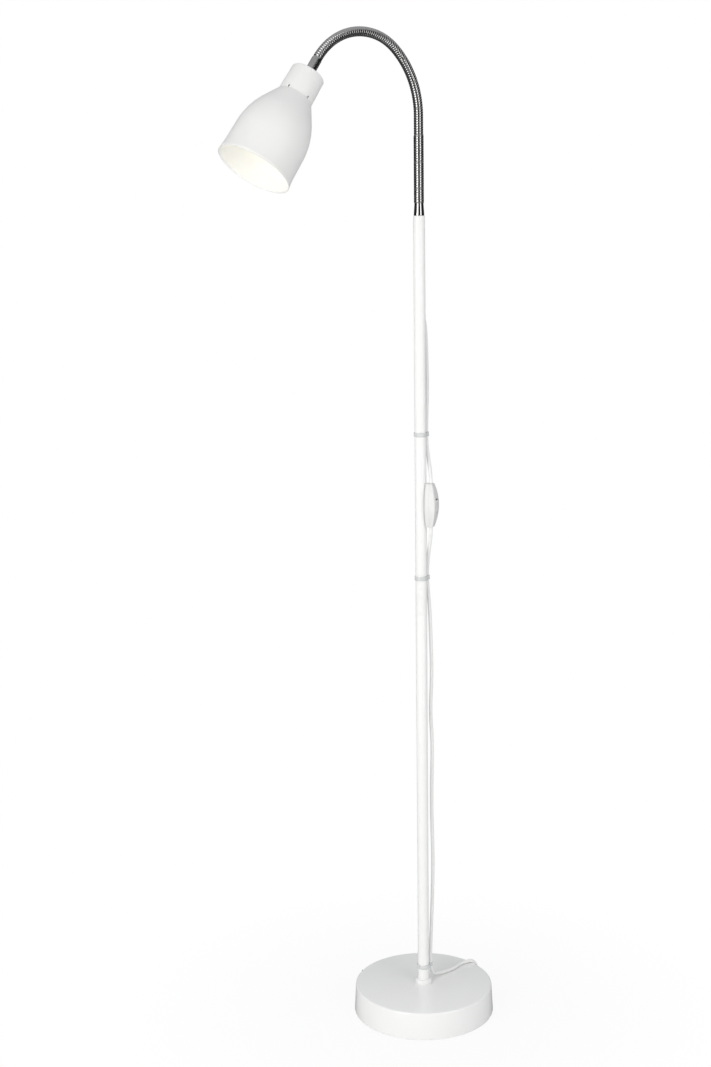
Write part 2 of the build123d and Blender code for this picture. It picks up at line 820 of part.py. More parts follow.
with BuildPart() as switch_contacts:
    with BuildSketch(switch_seat.offset(switch_wall)):
        with Locations(*((place, 0) for place in contact_places)):
            Rectangle(*contact_size)
    extrude(amount=contact_sheet)
    with BuildSketch(switch_seat.offset(switch_wall)):
        with Locations(*((place, 0) for place in contact_post_places)):
            Rectangle(contact_sheet, contact_size[1])
    extrude(amount=contact_post)
save(switch_contacts.part, "switch_contacts")

with BuildPart() as switch_screws:
    with BuildSketch(switch_seat.offset(fixing_gap)):
        with Locations(*screw_places):
            Circle(case_screw_radius)
    extrude(amount=switch_split - 2 * fixing_gap)
save(switch_screws.part, "switch_screws")

# ---------------------------------------------------------------- cord, clips, hank and plug
upper_route = [
    tuple(outlet_end),
    tuple(outlet_end + outlet_out * outlet_run),
    (13.4, 3.9, 992.0),
    (12.9, 1.5, 963.0),
    (12.5, -0.4, 915.0),
    (11.0, 0.2, 872.0),
    (10.6, 0.1, 838.0),
    (12.5, -3.6, 812.0),
    (switch_entry_x, switch_entry_y, 795.0),
    (switch_entry_x, switch_entry_y, switch_z + switch_half),
]
hank_frame = Plane(
    origin=around(hank_distance, hank_azimuth),
    x_dir=around(1, hank_azimuth + 90),
    z_dir=(0, 0, 1),
)
hank_low = hank_lift + cord_radius
hank_high = hank_low + hank_layer


def in_hank(x, y, z=0.0):
    """Point given in the hank's own frame: x along its runs, y towards the base."""
    return hank_frame.from_local_coords(Vector(x, y, z))


plug_heading = around(1, plug_azimuth)
lower_route = [
    (switch_entry_x, switch_entry_y, switch_z - switch_half),
    (switch_entry_x, switch_entry_y, 714.0),
    (10.2, -6.5, 697.0),
    (10.8, -1.0, 674.0),
    (10.6, 0.1, 645.0),
    (13.2, -2.4, 606.0),
    (15.2, -2.2, 556.0),
    (16.8, -2.0, 506.0),
    (14.0, -1.2, 452.0),
    (17.0, -2.5, 405.0),
    (15.6, -1.5, 345.0),
    (15.5, -1.9, 288.0),
    (16.6, -2.5, 243.0),
    (16.8, -1.9, 200.0),
    (14.8, -1.5, 143.0),
    (12.9, -1.3, 103.0),
    (11.4, -0.8, 51.0),
    (36.0, 3.0, 42.7),
    (57.0, 3.4, 42.7),
    (69.0, 6.4, 42.7),
    (81.5, 10.9, 42.8),
    (105.2, 4.8, 43.8),
    (105.4, 1.0, 3.4),
    tuple(in_hank(-hank_half_run - 17, hank_radii[0], hank_low)),
    tuple(in_hank(-hank_half_run - 5, hank_radii[0], hank_low)),
]
tail_route = [
    tuple(in_hank(hank_half_run + 5, hank_radii[-1], hank_high)),
    tuple(in_hank(hank_half_run + 18, hank_radii[-1], hank_high)),
    tuple(plug_rear - plug_heading * (relief_length + 9)),
    tuple(plug_rear - plug_heading * relief_length),
]


def cord_tube(points):
    """Round tube along straight runs joined by tangent arcs, and its centre line."""
    with BuildPart() as tube:
        with BuildLine() as line:
            FilletPolyline(*points, radius=corner_radii(points))
        with BuildSketch(Plane(origin=points[0], z_dir=Vector(*points[1]) - Vector(*points[0]))):
            Circle(cord_radius)
        sweep(path=line.wires()[0])
    return tube.part, line.wires()[0]


cord_upper, upper_line = cord_tube(upper_route)
save(cord_upper, "cord_upper")
report_route("cord_upper", upper_route, upper_line, cord_upper)

cord_lower, lower_line = cord_tube(lower_route)
save(cord_lower, "cord_lower")
report_route("cord_lower", lower_route, lower_line, cord_lower)

with BuildPart() as cord_clips:
    for (clip_x, clip_y), clip_z in zip(clip_cord_places, clip_heights):
        with BuildSketch(Plane.XY.offset(clip_z - clip_height / 2)):
            Circle(pole_radius + clip_thickness)
            with Locations((clip_x, clip_y)):
                Circle(cord_radius + clip_thickness)
            Circle(pole_radius, mode=Mode.SUBTRACT)
            with Locations((clip_x, clip_y)):
                Circle(cord_radius, mode=Mode.SUBTRACT)
        extrude(amount=clip_height)
save(cord_clips.part, "cord_clips")

cord_tail, tail_line = cord_tube(tail_route)
save(cord_tail, "cord_tail")
report_route("cord_tail", tail_route, tail_line, cord_tail)


def biarc(here, heading, there, leaving):
    """Two arcs that leave one point along heading and reach the next along leaving."""
    chord = there - here
    spread = 2 * (1 - heading.dot(leaving))
    if spread < 1e-6:
        reach = chord.dot(chord) / (4 * chord.dot(leaving))
    else:
        along = chord.dot(heading + leaving)
        reach = (sqrt(along**2 + spread * chord.dot(chord)) - along) / spread
    meet = (here + there + (heading - leaving) * reach) * 0.5
    middle = (there - leaving * reach) - (here + heading * reach)
    TangentArc(here, meet, tangent=heading)
    TangentArc(meet, there, tangent=middle)


def least_gap(line, radius, step=1.5):
    """Smallest gap between stretches of a tube that are not neighbours along it."""
    count = ceil(line.length / step)
    places = [line @ (index / count) for index in range(count + 1)]
    skip = ceil(pi * 2 * radius / step)
    gaps = [
        (places[later] - places[early]).length
        for early in range(count + 1)
        for later in range(early + skip, count + 1)
    ]
    return min(gaps) - 2 * radius


# The hank's runs lie side by side, drawn in at the tie: three in the lower layer, the third
# climbing, and two above them.
climb_run = 2
onward = hank_frame.x_dir
with BuildPart() as cord_hank:
    with BuildLine() as hank_line:
        height = hank_low
        Line(in_hank(-hank_half_run - 5, hank_radii[0], height),
             in_hank(-hank_half_run, hank_radii[0], height))
        for run, (radius, waist) in enumerate(zip(hank_radii, hank_waists)):
            way = 1 if run % 2 == 0 else -1
            rise = hank_layer if run == climb_run else 0.0
            first = in_hank(-way * hank_half_run, way * radius, height)
            middle = in_hank(0, way * waist, height + rise / 2)
            last = in_hank(way * hank_half_run, way * radius, height + rise)
            slope = (onward * way + Vector(0, 0, 0.8 * rise / hank_half_run)).normalized()
            biarc(first, onward * way, middle, slope)
            biarc(middle, slope, last, onward * way)
            height += rise
            if run < len(hank_radii) - 1:
                opposite = in_hank(way * hank_half_run, -way * hank_radii[run + 1], height)
                biarc(last, onward * way, opposite, -onward * way)
        Line(in_hank(hank_half_run, hank_radii[-1], height),
             in_hank(hank_half_run + 5, hank_radii[-1], height))
    hank_wire = hank_line.wires()[0]
    with BuildSketch(Plane(origin=hank_wire @ 0, z_dir=hank_wire % 0)):
        Circle(cord_radius)
    sweep(path=hank_wire)
save(cord_hank.part, "cord_hank")
hank_fill = cord_hank.part.volume / (pi * cord_radius**2 * hank_wire.length)
print(f"cord_hank: length {hank_wire.length:.1f}, volume over section times length {hank_fill:.4f}")
print(f"  least gap to itself {least_gap(hank_wire, cord_radius):.2f}")

tie_low = -hank_waists[1] - cord_radius - tie_gap
tie_high = hank_waists[0] + cord_radius + tie_gap
tie_top = hank_high + cord_radius + tie_top_gap
tie_middle = in_hank(0, (tie_low + tie_high) / 2, (hank_lift + tie_top) / 2)
with BuildPart() as hank_tie:
    with BuildSketch(Plane(origin=tie_middle, x_dir=hank_frame.y_dir, z_dir=hank_frame.x_dir)):
        RectangleRounded(tie_high - tie_low + 2 * tie_thickness,
                         tie_top - hank_lift + 2 * tie_thickness, cord_radius + tie_thickness)
        RectangleRounded(tie_high - tie_low, tie_top - hank_lift, cord_radius, mode=Mode.SUBTRACT)
    extrude(amount=tie_width / 2, both=True)
save(hank_tie.part, "hank_tie")

plug_section = Plane(origin=plug_rear, x_dir=Vector(0, 0, 1).cross(plug_heading), z_dir=plug_heading)
pin_places = [(pin_spacing / 2, 0), (-pin_spacing / 2, 0)]
with BuildPart() as plug_body:
    with BuildSketch(plug_section):
        RectangleRounded(plug_rear_width, plug_rear_height, plug_corner)
    with BuildSketch(plug_section.offset(plug_body_length)):
        RectangleRounded(plug_width, plug_height, plug_corner)
    loft(ruled=True)
    with BuildSketch(plug_section):
        Circle(relief_wide)
    with BuildSketch(plug_section.offset(-relief_length)):
        Circle(relief_narrow)
    loft(ruled=True)
    with BuildSketch(plug_section.offset(plug_body_length - pin_root)):
        with Locations(*pin_places):
            Circle(pin_root_radius)
    extrude(amount=pin_root, mode=Mode.SUBTRACT)
save(plug_body.part, "plug_body")

with BuildPart() as plug_pins:
    with BuildSketch(plug_section.offset(plug_body_length - pin_root)):
        with Locations(*pin_places):
            Circle(pin_root_radius)
    extrude(amount=pin_root)
    with BuildSketch(plug_section.offset(plug_body_length)):
        with Locations(*pin_places):
            Circle(pin_radius)
    extrude(amount=pin_length)
    chamfer(plug_pins.edges().group_by(Axis(plug_rear, plug_heading))[-1], length=pin_bevel)
save(plug_pins.part, "plug_pins")

# ---------------------------------------------------------------- joints
# Positive turns bend the neck further over, or swing the head towards +Y.
bend_swing = {number: (-25, 18) if number < 4 else (-27, 4) for number in bend_links}
for number in bend_links + side_links:
    place = neck_plane(number * link_length)
    across = Vector(0, -1, 0) if number in bend_links else place.y_dir
    swing = bend_swing.get(number, (-25, 25))
    hinge(f"neck_joint_{number}", links[number - 1], links[number], Axis(place.origin, across), swing)

rocker_axis = Axis(rocker_plane.origin, -rocker_plane.z_dir)
hinge("rocker_tilt", switch_cover.part, switch_rocker.part, rocker_axis, (0, 2 * rocker_tilt))
slider("bulb_removal", lampholder.part, bulb_cap.part, Axis(rim_centre, -head_up), (0, bulb_removal))

print(f"neck {neck_length:.1f} long, top of the lamp at "
      f"{max(link.bounding_box().max.Z for link in links):.1f}")
print("rim centre", tuple(round(value, 2) for value in rim_centre))
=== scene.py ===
from math import atan2, cos, pi, radians, sin

import bmesh
import bpy
from mathutils import Matrix, Vector


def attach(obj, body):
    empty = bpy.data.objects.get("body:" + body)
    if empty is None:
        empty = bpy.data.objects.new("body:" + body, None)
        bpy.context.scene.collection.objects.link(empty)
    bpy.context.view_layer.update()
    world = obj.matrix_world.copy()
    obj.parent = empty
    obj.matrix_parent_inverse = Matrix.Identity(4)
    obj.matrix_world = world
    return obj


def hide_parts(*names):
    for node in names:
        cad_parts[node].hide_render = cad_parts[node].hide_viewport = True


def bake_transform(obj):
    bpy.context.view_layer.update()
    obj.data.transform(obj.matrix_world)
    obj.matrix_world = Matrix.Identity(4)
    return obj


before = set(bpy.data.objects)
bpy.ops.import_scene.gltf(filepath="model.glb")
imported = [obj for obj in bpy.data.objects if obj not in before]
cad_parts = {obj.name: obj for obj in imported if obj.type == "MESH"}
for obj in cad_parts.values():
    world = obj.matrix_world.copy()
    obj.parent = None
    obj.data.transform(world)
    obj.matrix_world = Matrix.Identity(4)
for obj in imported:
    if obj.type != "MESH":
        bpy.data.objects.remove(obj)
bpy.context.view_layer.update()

bl_info = {
    "name": "Gooseneck floor lamp",
    "version": (1, 0, 0),
    "blender": (4, 5, 0),
    "location": "View3D > Sidebar > Lamp",
    "description": "Dresses the packed parts of a gooseneck reading floor lamp",
    "category": "Add Mesh",
}

# Every size below is in millimetres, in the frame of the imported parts: Z is up from the floor,
# the neck bends over towards -X.
MM = 0.001

# ---------------------------------------------------------------- sizes shared by several pieces
POLE_RADIUS = 8.0
POLE_BORE = 7.0
POLE_FOOT = 42.0
POLE_JOINT = 597.0
POLE_TOP = 1150.0
POLE_EDGE = 0.35
BASE_TOP = 40.0
FERRULE_TOP = 1167.0

NECK_STRAIGHT = 114.3
NECK_ARCS = ((111.4, 49.9), (75.6, 26.2), (88.1, 67.9))      # radius, turn in degrees
LINKS = 10
RIBS_PER_LINK = 11
NECK_LENGTH = NECK_STRAIGHT + sum(radius * radians(turn) for radius, turn in NECK_ARCS)
LINK = NECK_LENGTH / LINKS
RIB_PITCH = LINK / RIBS_PER_LINK

HEAD_LENGTH = 171.0         # from the shade's rim to the end of the neck

OUTLET_AXIS_Z = 1030.0
OUTLET_AZIMUTH = 20.0
OUTLET_DROP = 60.0
OUTLET_REACH = 18.6

CORD_RADIUS = 2.5
SWITCH_AZIMUTH = -56.0
SWITCH_Z = 754.5
SWITCH_SEAT = 8.3
SWITCH_SEAM = 6.5
SWITCH_HALF = 31.0

HANK_AZIMUTH = 34.0
HANK_DISTANCE = 128.0
HANK_HALF_RUN = 25.0
HANK_RADII = (21.4, 18.2, 15.1, 18.2, 21.4)
HANK_WAISTS = (14.6, 11.0, 8.0, 11.0, 14.6)
HANK_LOW = 3.5
HANK_LAYER = 5.6
CLIMB_RUN = 2

PLUG_REAR = Vector((29.6, 113.1, 6.9))
PLUG_AZIMUTH = 158.0
RELIEF_LENGTH = 20.0

CUT_GAP = 0.02              # a cutter's radius over that of the piece it makes room for
SHARP = 0.9                 # edges that turn more than this, in radians, are rounded


def around(radius, azimuth, z=0.0):
    """Point at a radius and azimuth about the pole's axis."""
    return Vector((radius * cos(radians(azimuth)), radius * sin(radians(azimuth)), z))


def framed(origin, x_axis, z_axis):
    """Matrix that carries a piece drawn about its own origin, in metres, to its place."""
    z = Vector(z_axis).normalized()
    x = Vector(x_axis).normalized()
    y = z.cross(x)
    place = Matrix((x, y, z)).transposed().to_4x4()
    place.translation = Vector(origin) * MM
    return place


OUTLET_OUT = around(cos(radians(OUTLET_DROP)), OUTLET_AZIMUTH, -sin(radians(OUTLET_DROP)))
OUTLET_START = Vector((0.0, 0.0, OUTLET_AXIS_Z))
OUTLET_END = OUTLET_START + OUTLET_OUT * OUTLET_REACH
OUTLET_PLACE = framed(OUTLET_START, around(1, OUTLET_AZIMUTH + 90), OUTLET_OUT)
SWITCH_OUT = around(1, SWITCH_AZIMUTH)
SWITCH_PLACE = framed(around(SWITCH_SEAT, SWITCH_AZIMUTH, SWITCH_Z), (0, 0, 1), SWITCH_OUT)
SWITCH_CORD = around(SWITCH_SEAT + SWITCH_SEAM, SWITCH_AZIMUTH)
HANK_X = around(1, HANK_AZIMUTH + 90)
HANK_Y = Vector((0, 0, 1)).cross(HANK_X)
HANK_CENTRE = around(HANK_DISTANCE, HANK_AZIMUTH)
PLUG_HEADING = around(1, PLUG_AZIMUTH)
PLUG_PLACE = framed(PLUG_REAR, Vector((0, 0, 1)).cross(PLUG_HEADING), PLUG_HEADING)


def in_hank(x, y, z):
    """Point given in the hank's own frame: x along its runs, y towards the base."""
    return HANK_CENTRE + HANK_X * x + HANK_Y * y + Vector((0, 0, z))


def neck_place(s):
    """Frame of the neck's centre line s mm above the lower ferrule, Z along the neck."""
    x, z, lean = 0.0, FERRULE_TOP, 0.0
    run = min(s, NECK_STRAIGHT)
    z += run
    s -= run
    for radius, turn in NECK_ARCS:
        step = min(s / radius, radians(turn))
        x -= radius * (cos(lean) - cos(lean + step))
        z += radius * (sin(lean + step) - sin(lean))
        lean += step
        s -= radius * step
    along = Vector((-sin(lean), 0, cos(lean)))
    return framed(Vector((x, 0, z)) + along * s, (0, 1, 0), along)


NECK_END = neck_place(NECK_LENGTH)
HEAD_UP = -(NECK_END.to_3x3() @ Vector((0, 0, 1)))
HEAD_PLACE = framed(NECK_END.translation / MM - HEAD_UP * HEAD_LENGTH, (0, 1, 0), HEAD_UP)


# ---------------------------------------------------------------- settings a user would change
def colour_setting(label, description, default):
    return bpy.props.FloatVectorProperty(name=label, description=description, default=default,
                                         subtype="COLOR", size=3, min=0.0, max=1.0)


class LampFinishSettings(bpy.types.PropertyGroup):
    """Colours and finishes of the lamp"""
    gloss_white: colour_setting("Gloss white", "Paint of the base and the pole",
                                (0.86, 0.86, 0.85))
    satin_white: colour_setting("Satin white", "Paint of the shade and its cap",
                                (0.80, 0.795, 0.785))
    inner_white: colour_setting("Inner white", "Paint inside the shade", (0.90, 0.895, 0.86))
    chrome: colour_setting("Chrome", "Plating of the neck and its ferrules", (0.66, 0.66, 0.67))
    # the plastic's own white, darkened towards grey as painted shade for the shade that falls on
    # the switch beside the pole
    plastic_white: colour_setting("Plastic white", "Switch, plug and sleeve", (0.73, 0.73, 0.72))
    cord_white: colour_setting("Cord white", "Jacket of the cord", (0.82, 0.82, 0.81))
    glow: bpy.props.FloatProperty(
        name="Glow", description="Light that the bulb's glass gives off",
        default=1.3, min=0.0, max=20.0)


class LampSizeSettings(bpy.types.PropertyGroup):
    """Sizes of the lamp's visible details"""
    shade_wall: bpy.props.FloatProperty(
        name="Shade wall", description="Thickness of the shade's metal",
        default=0.001, min=0.0003, max=0.003, unit="LENGTH")
    rib_crest: bpy.props.FloatProperty(
        name="Rib crest", description="Radius of the neck over its ribs",
        default=0.00635, min=0.006, max=0.007, unit="LENGTH")
    rib_groove: bpy.props.FloatProperty(
        name="Rib groove", description="Radius of the neck in its grooves",
        default=0.0058, min=0.005, max=0.0062, unit="LENGTH")
    cord_diameter: bpy.props.FloatProperty(
        name="Cord diameter", description="Thickness of the cord",
        default=0.005, min=0.003, max=0.008, unit="LENGTH")
    softbox_level: bpy.props.FloatProperty(
        name="Softbox level", description="Brightness of the studio lamps",
        default=2.75, min=0.0, max=10.0)


# ---------------------------------------------------------------- mesh helpers
def outline(points, closed=True):
    """Wire in the XZ plane through (radius, height[, rounding]) in mm, its corners rounded."""
    bm = bmesh.new()
    verts = [bm.verts.new((p[0] * MM, 0.0, p[1] * MM)) for p in points]
    for here, there in zip(verts, verts[1:] + (verts[:1] if closed else [])):
        bm.edges.new((here, there))
    for vert, point in zip(verts, points):
        if len(point) > 2:
            bmesh.ops.bevel(bm, geom=[vert], offset=point[2] * MM, offset_type="OFFSET",
                            segments=5, profile=0.5, affect="VERTICES", material=-1)
    return bm


def spun(bm, steps=96):
    """Turn a wire in the XZ plane once round the Z axis into a closed surface."""
    bmesh.ops.spin(bm, geom=bm.verts[:] + bm.edges[:], cent=(0, 0, 0), axis=(0, 0, 1),
                   angle=2 * pi, steps=steps, use_merge=True)
    return tidied(bm)


def tidied(bm):
    """Merge doubled points and turn every face outwards."""
    bmesh.ops.remove_doubles(bm, verts=bm.verts, dist=1e-6)
    bmesh.ops.dissolve_degenerate(bm, edges=bm.edges, dist=1e-7)
    bmesh.ops.recalc_face_normals(bm, faces=bm.faces)
    return bm


def lathe(points, steps=96, closed=True):
    """Solid of revolution about the Z axis, from a section in mm."""
    return spun(outline(points, closed), steps)


def drawn_arc(bm, vert, centre, angle, steps):
    """Draw an arc in the XZ plane from a point of a wire about a centre; returns its far end."""
    swept = bmesh.ops.spin(bm, geom=[vert], cent=(centre[0] * MM, 0, centre[1] * MM),
                           axis=(0, -1, 0), angle=angle, steps=steps)
    return swept["geom_last"][0]


def block(low, high):
    """Box between two corners in mm."""
    bm = bmesh.new()
    bmesh.ops.create_cube(bm, size=1.0)
    low, high = Vector(low), Vector(high)
    bmesh.ops.scale(bm, vec=(high - low) * MM, verts=bm.verts)
    bmesh.ops.translate(bm, vec=(low + high) * 0.5 * MM, verts=bm.verts)
    return bm


def rounded(bm, edges, offset, segments=4):
    """Round these edges over, offset mm to either side."""
    bmesh.ops.bevel(bm, geom=list(edges), offset=offset * MM, offset_type="OFFSET",
                    segments=segments, profile=0.5, affect="EDGES", material=-1,
                    clamp_overlap=True)
    return bm


def rod(radius, low, high, steps, *rim):
    """Solid cylinder along Z between two heights in mm, its rims rounded if rim is given."""
    return lathe([(0.0, low), (radius, low, *rim), (radius, high, *rim), (0.0, high)], steps,
                 closed=False)


def spans(edge, axis, least):
    """True if an edge runs for more than least, in metres, along an axis."""
    here, there = (vert.co[axis] for vert in edge.verts)
    return abs(here - there) > least


def smoothed(bm, limit=32.0):
    """Shade smoothly across every edge that turns less than limit degrees."""
    for face in bm.faces:
        face.smooth = True
    for edge in bm.edges:
        if len(edge.link_faces) == 2:
            edge.smooth = edge.calc_face_angle(0.0) < radians(limit)
    return bm


def as_object(name, bm, place=None, limit=32.0):
    """Mesh object from a bmesh, its place in its mesh."""
    if place is not None:
        bmesh.ops.transform(bm, matrix=place, verts=bm.verts)
    smoothed(bm, limit)
    mesh = bpy.data.meshes.new(name)
    bm.to_mesh(mesh)
    bm.free()
    obj = bpy.data.objects.new(name, mesh)
    bpy.context.scene.collection.objects.link(obj)
    return obj


def combined(obj, others, operation="DIFFERENCE", limit=32.0):
    """Cut other meshes out of a piece, or join them to it, and keep only the result."""
    for other in others:
        step = obj.modifiers.new(operation.lower(), "BOOLEAN")
        step.operation = operation
        step.solver = "EXACT"
        step.object = other
    graph = bpy.context.evaluated_depsgraph_get()
    result = bpy.data.meshes.new_from_object(obj.evaluated_get(graph))
    obj.modifiers.clear()
    old, obj.data = obj.data, result
    result.name = obj.name
    bpy.data.meshes.remove(old)
    for other in others:
        bpy.data.objects.remove(other)
    bm = bmesh.new()
    bm.from_mesh(obj.data)
    bmesh.ops.remove_doubles(bm, verts=bm.verts, dist=2e-6)
    smoothed(bm, limit)
    bm.to_mesh(obj.data)
    bm.free()
    return obj


def walled(obj, thickness, inner_material=0):
    """Give a shell its thickness, inwards."""
    wall = obj.modifiers.new("wall", "SOLIDIFY")
    wall.thickness = thickness
    wall.offset = -1.0
    wall.use_even_offset = True
    wall.material_offset = inner_material
    return obj


def finished(obj, materials, body, slot, *nodes):
    """Paint a piece, let it ride on its body and stand for its CAD nodes."""
    for material in materials:
        obj.data.materials.append(material)
    if body is not None:
        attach(obj, body)
    if nodes:
        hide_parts(*nodes)
    return obj


# ---------------------------------------------------------------- finishes
def finish(name, colour, roughness, metallic=0.0, mottle=0.02, patch=0.03, haze=0.04,
           grain=0.0, grain_size=0.001, **sockets):
    """Material with patchy colour and haze, and a fine grain in its bump."""
    material = bpy.data.materials.get("look_" + name)
    if material is not None:
        return material
    material = bpy.data.materials.new("look_" + name)
    material.use_nodes = True
    nodes, links = material.node_tree.nodes, material.node_tree.links
    shader = nodes["Principled BSDF"]
    shader.inputs["Metallic"].default_value = metallic
    for socket, value in sockets.items():
        shader.inputs[socket.replace("_", " ")].default_value = value

    place = nodes.new("ShaderNodeTexCoord")
    cloud = nodes.new("ShaderNodeTexNoise")
    cloud.inputs["Scale"].default_value = 1 / patch
    cloud.inputs["Detail"].default_value = 4.0
    links.new(place.outputs["Object"], cloud.inputs["Vector"])
    ramp = nodes.new("ShaderNodeValToRGB")
    ramp.color_ramp.elements[0].position = 0.3
    ramp.color_ramp.elements[1].position = 0.7
    for element, share in zip(ramp.color_ramp.elements, (1 - mottle, 1 + mottle)):
        element.color = (*(min(value * share, 1.0) for value in colour), 1.0)
    links.new(cloud.outputs["Fac"], ramp.inputs["Fac"])
    links.new(ramp.outputs["Color"], shader.inputs["Base Color"])

    veil = nodes.new("ShaderNodeMapRange")
    veil.inputs["From Min"].default_value = 0.3
    veil.inputs["From Max"].default_value = 0.7
    veil.inputs["To Min"].default_value = max(roughness - haze, 0.02)
    veil.inputs["To Max"].default_value = roughness + haze
    links.new(cloud.outputs["Fac"], veil.inputs["Value"])
    links.new(veil.outputs["Result"], shader.inputs["Roughness"])

    if grain:
        specks = nodes.new("ShaderNodeTexNoise")
        specks.inputs["Scale"].default_value = 1 / grain_size
        specks.inputs["Detail"].default_value = 2.0
        links.new(place.outputs["Object"], specks.inputs["Vector"])
        bump = nodes.new("ShaderNodeBump")
        bump.inputs["Distance"].default_value = grain * MM
        links.new(specks.outputs["Fac"], bump.inputs["Height"])
        links.new(bump.outputs["Normal"], shader.inputs["Normal"])
    return material


def gloss_paint():
    return finish("gloss_paint", bpy.context.scene.lamp_finish.gloss_white, 0.17, mottle=0.006,
                  patch=0.05, haze=0.03, grain=0.006, grain_size=0.0016)


def satin_paint():
    return finish("satin_paint", bpy.context.scene.lamp_finish.satin_white, 0.42, mottle=0.008,
                  patch=0.02, haze=0.04, grain=0.010, grain_size=0.0006)


def inner_paint():
    return finish("inner_paint", bpy.context.scene.lamp_finish.inner_white, 0.5, mottle=0.006,
                  patch=0.02, haze=0.05, grain=0.008, grain_size=0.0006)


def chrome():
    return finish("chrome", bpy.context.scene.lamp_finish.chrome, 0.07, 1.0, mottle=0.06,
                  patch=0.006, haze=0.025, grain=0.002, grain_size=0.0008)


# its colour is the plastic's own white darkened to grey, painted shade standing in for the shade
# on the switch
def white_plastic():
    return finish("white_plastic", bpy.context.scene.lamp_finish.plastic_white, 0.34,
                  mottle=0.008, patch=0.01, grain=0.010, grain_size=0.0004)


def cord_jacket():
    return finish("cord_jacket", bpy.context.scene.lamp_finish.cord_white, 0.36, mottle=0.015,
                  patch=0.012, grain=0.012, grain_size=0.0012)


def clear_plastic():
    return finish("clear_plastic", (0.90, 0.92, 0.92), 0.16, mottle=0.01, patch=0.004, haze=0.05,
                  grain=0.01, grain_size=0.001, Transmission_Weight=0.4, IOR=1.46)


def opal_glass():
    return finish("opal_glass", (0.93, 0.92, 0.90), 0.22, mottle=0.01, patch=0.01,
                  Emission_Color=(1.0, 0.97, 0.90, 1.0),
                  Emission_Strength=bpy.context.scene.lamp_finish.glow)


def black_rubber():
    return finish("black_rubber", (0.04, 0.04, 0.04), 0.75, mottle=0.15, patch=0.008,
                  grain=0.06, grain_size=0.0008)


def cast_iron():
    return finish("cast_iron", (0.17, 0.16, 0.15), 0.6, 0.8, mottle=0.25, patch=0.012, haze=0.12,
                  grain=0.15, grain_size=0.0015)


def zinc_plate():
    return finish("zinc_plate", (0.62, 0.63, 0.66), 0.34, 1.0, mottle=0.12, patch=0.004, haze=0.1,
                  grain=0.01, grain_size=0.0006)


def nickel_plate():
    return finish("nickel_plate", (0.70, 0.67, 0.61), 0.24, 1.0, mottle=0.05, patch=0.003,
                  haze=0.05)


def brass():
    return finish("brass", (0.72, 0.55, 0.27), 0.32, 1.0, mottle=0.1, patch=0.003, haze=0.08)


def bulb_metal():
    return finish("bulb_metal", (0.75, 0.75, 0.74), 0.3, 1.0, mottle=0.05, patch=0.003, haze=0.06)


def holder_plastic():
    return finish("holder_plastic", (0.74, 0.73, 0.70), 0.42, mottle=0.03, patch=0.008,
                  grain=0.02, grain_size=0.0007)


def lead_sheath():
    return finish("lead_sheath", (0.70, 0.69, 0.66), 0.5, mottle=0.04, patch=0.006,
                  grain=0.01, grain_size=0.0008)


def tie_plastic():
    return finish("tie_plastic", (0.55, 0.56, 0.57), 0.4, mottle=0.05, patch=0.004,
                  grain=0.02, grain_size=0.0008)


HIDDEN_NODES = {
    "base_pad": black_rubber, "base_weight": cast_iron, "base_washer": zinc_plate,
    "base_nut": zinc_plate, "foot_stud": zinc_plate, "pole_joiner": zinc_plate,
    "pole_top_bush": zinc_plate, "pole_lead": lead_sheath, "head_lead": lead_sheath,
    "head_nut": zinc_plate, "lampholder": holder_plastic, "holder_shell": brass,
    "holder_contact": brass, "terminal_screws": brass, "shade_ring": holder_plastic,
    "bulb_body": white_plastic, "bulb_cap": bulb_metal, "bulb_contact": bulb_metal,
    "switch_contacts": brass, "switch_screws": zinc_plate,
}


# ---------------------------------------------------------------- cords
def cord_curve(name, points):
    """Round cord whose smooth line has these points, in mm, as its control points."""
    curve = bpy.data.curves.new(name, "CURVE")
    curve.dimensions = "3D"
    line = curve.splines.new("NURBS")
    line.points.add(len(points) - 1)
    for knot, point in zip(line.points, points):
        knot.co = (*(Vector(point) * MM), 1.0)
    line.order_u = 3
    line.use_endpoint_u = True
    line.resolution_u = 12
    curve.bevel_depth = bpy.context.scene.lamp_size.cord_diameter / 2
    curve.bevel_resolution = 5
    curve.use_fill_caps = True
    obj = bpy.data.objects.new(name, curve)
    bpy.context.scene.collection.objects.link(obj)
    return obj


UPPER_ROUTE = [
    tuple(OUTLET_END),
    tuple(OUTLET_END + OUTLET_OUT * 8),
    (13.4, 3.9, 992.0),
    (12.9, 1.5, 963.0),
    (12.5, -0.4, 915.0),
    (11.0, 0.2, 872.0),
    (10.6, 0.1, 838.0),
    (12.5, -3.6, 812.0),
    (SWITCH_CORD.x, SWITCH_CORD.y, 795.0),
    (SWITCH_CORD.x, SWITCH_CORD.y, SWITCH_Z + SWITCH_HALF),
]
LOWER_ROUTE = [
    (SWITCH_CORD.x, SWITCH_CORD.y, SWITCH_Z - SWITCH_HALF),
    (SWITCH_CORD.x, SWITCH_CORD.y, 714.0),
    (10.2, -6.5, 697.0),
    (10.8, -1.0, 674.0),
    (10.6, 0.1, 645.0),
    (13.2, -2.4, 606.0),
    (15.2, -2.2, 556.0),
    (16.8, -2.0, 506.0),
    (14.0, -1.2, 452.0),
    (17.0, -2.5, 405.0),
    (15.6, -1.5, 345.0),
    (15.5, -1.9, 288.0),
    (16.6, -2.5, 243.0),
    (16.8, -1.9, 200.0),
    (14.8, -1.5, 143.0),
    (12.9, -1.3, 103.0),
    (11.4, -0.8, 51.0),
    (36.0, 3.0, 42.7),
    (57.0, 3.4, 42.7),
    (69.0, 6.4, 42.7),
    (81.5, 10.9, 42.8),
    (105.2, 4.8, 43.8),
    (105.4, 1.0, 3.4),
    tuple(in_hank(-HANK_HALF_RUN - 17, HANK_RADII[0], HANK_LOW)),
]
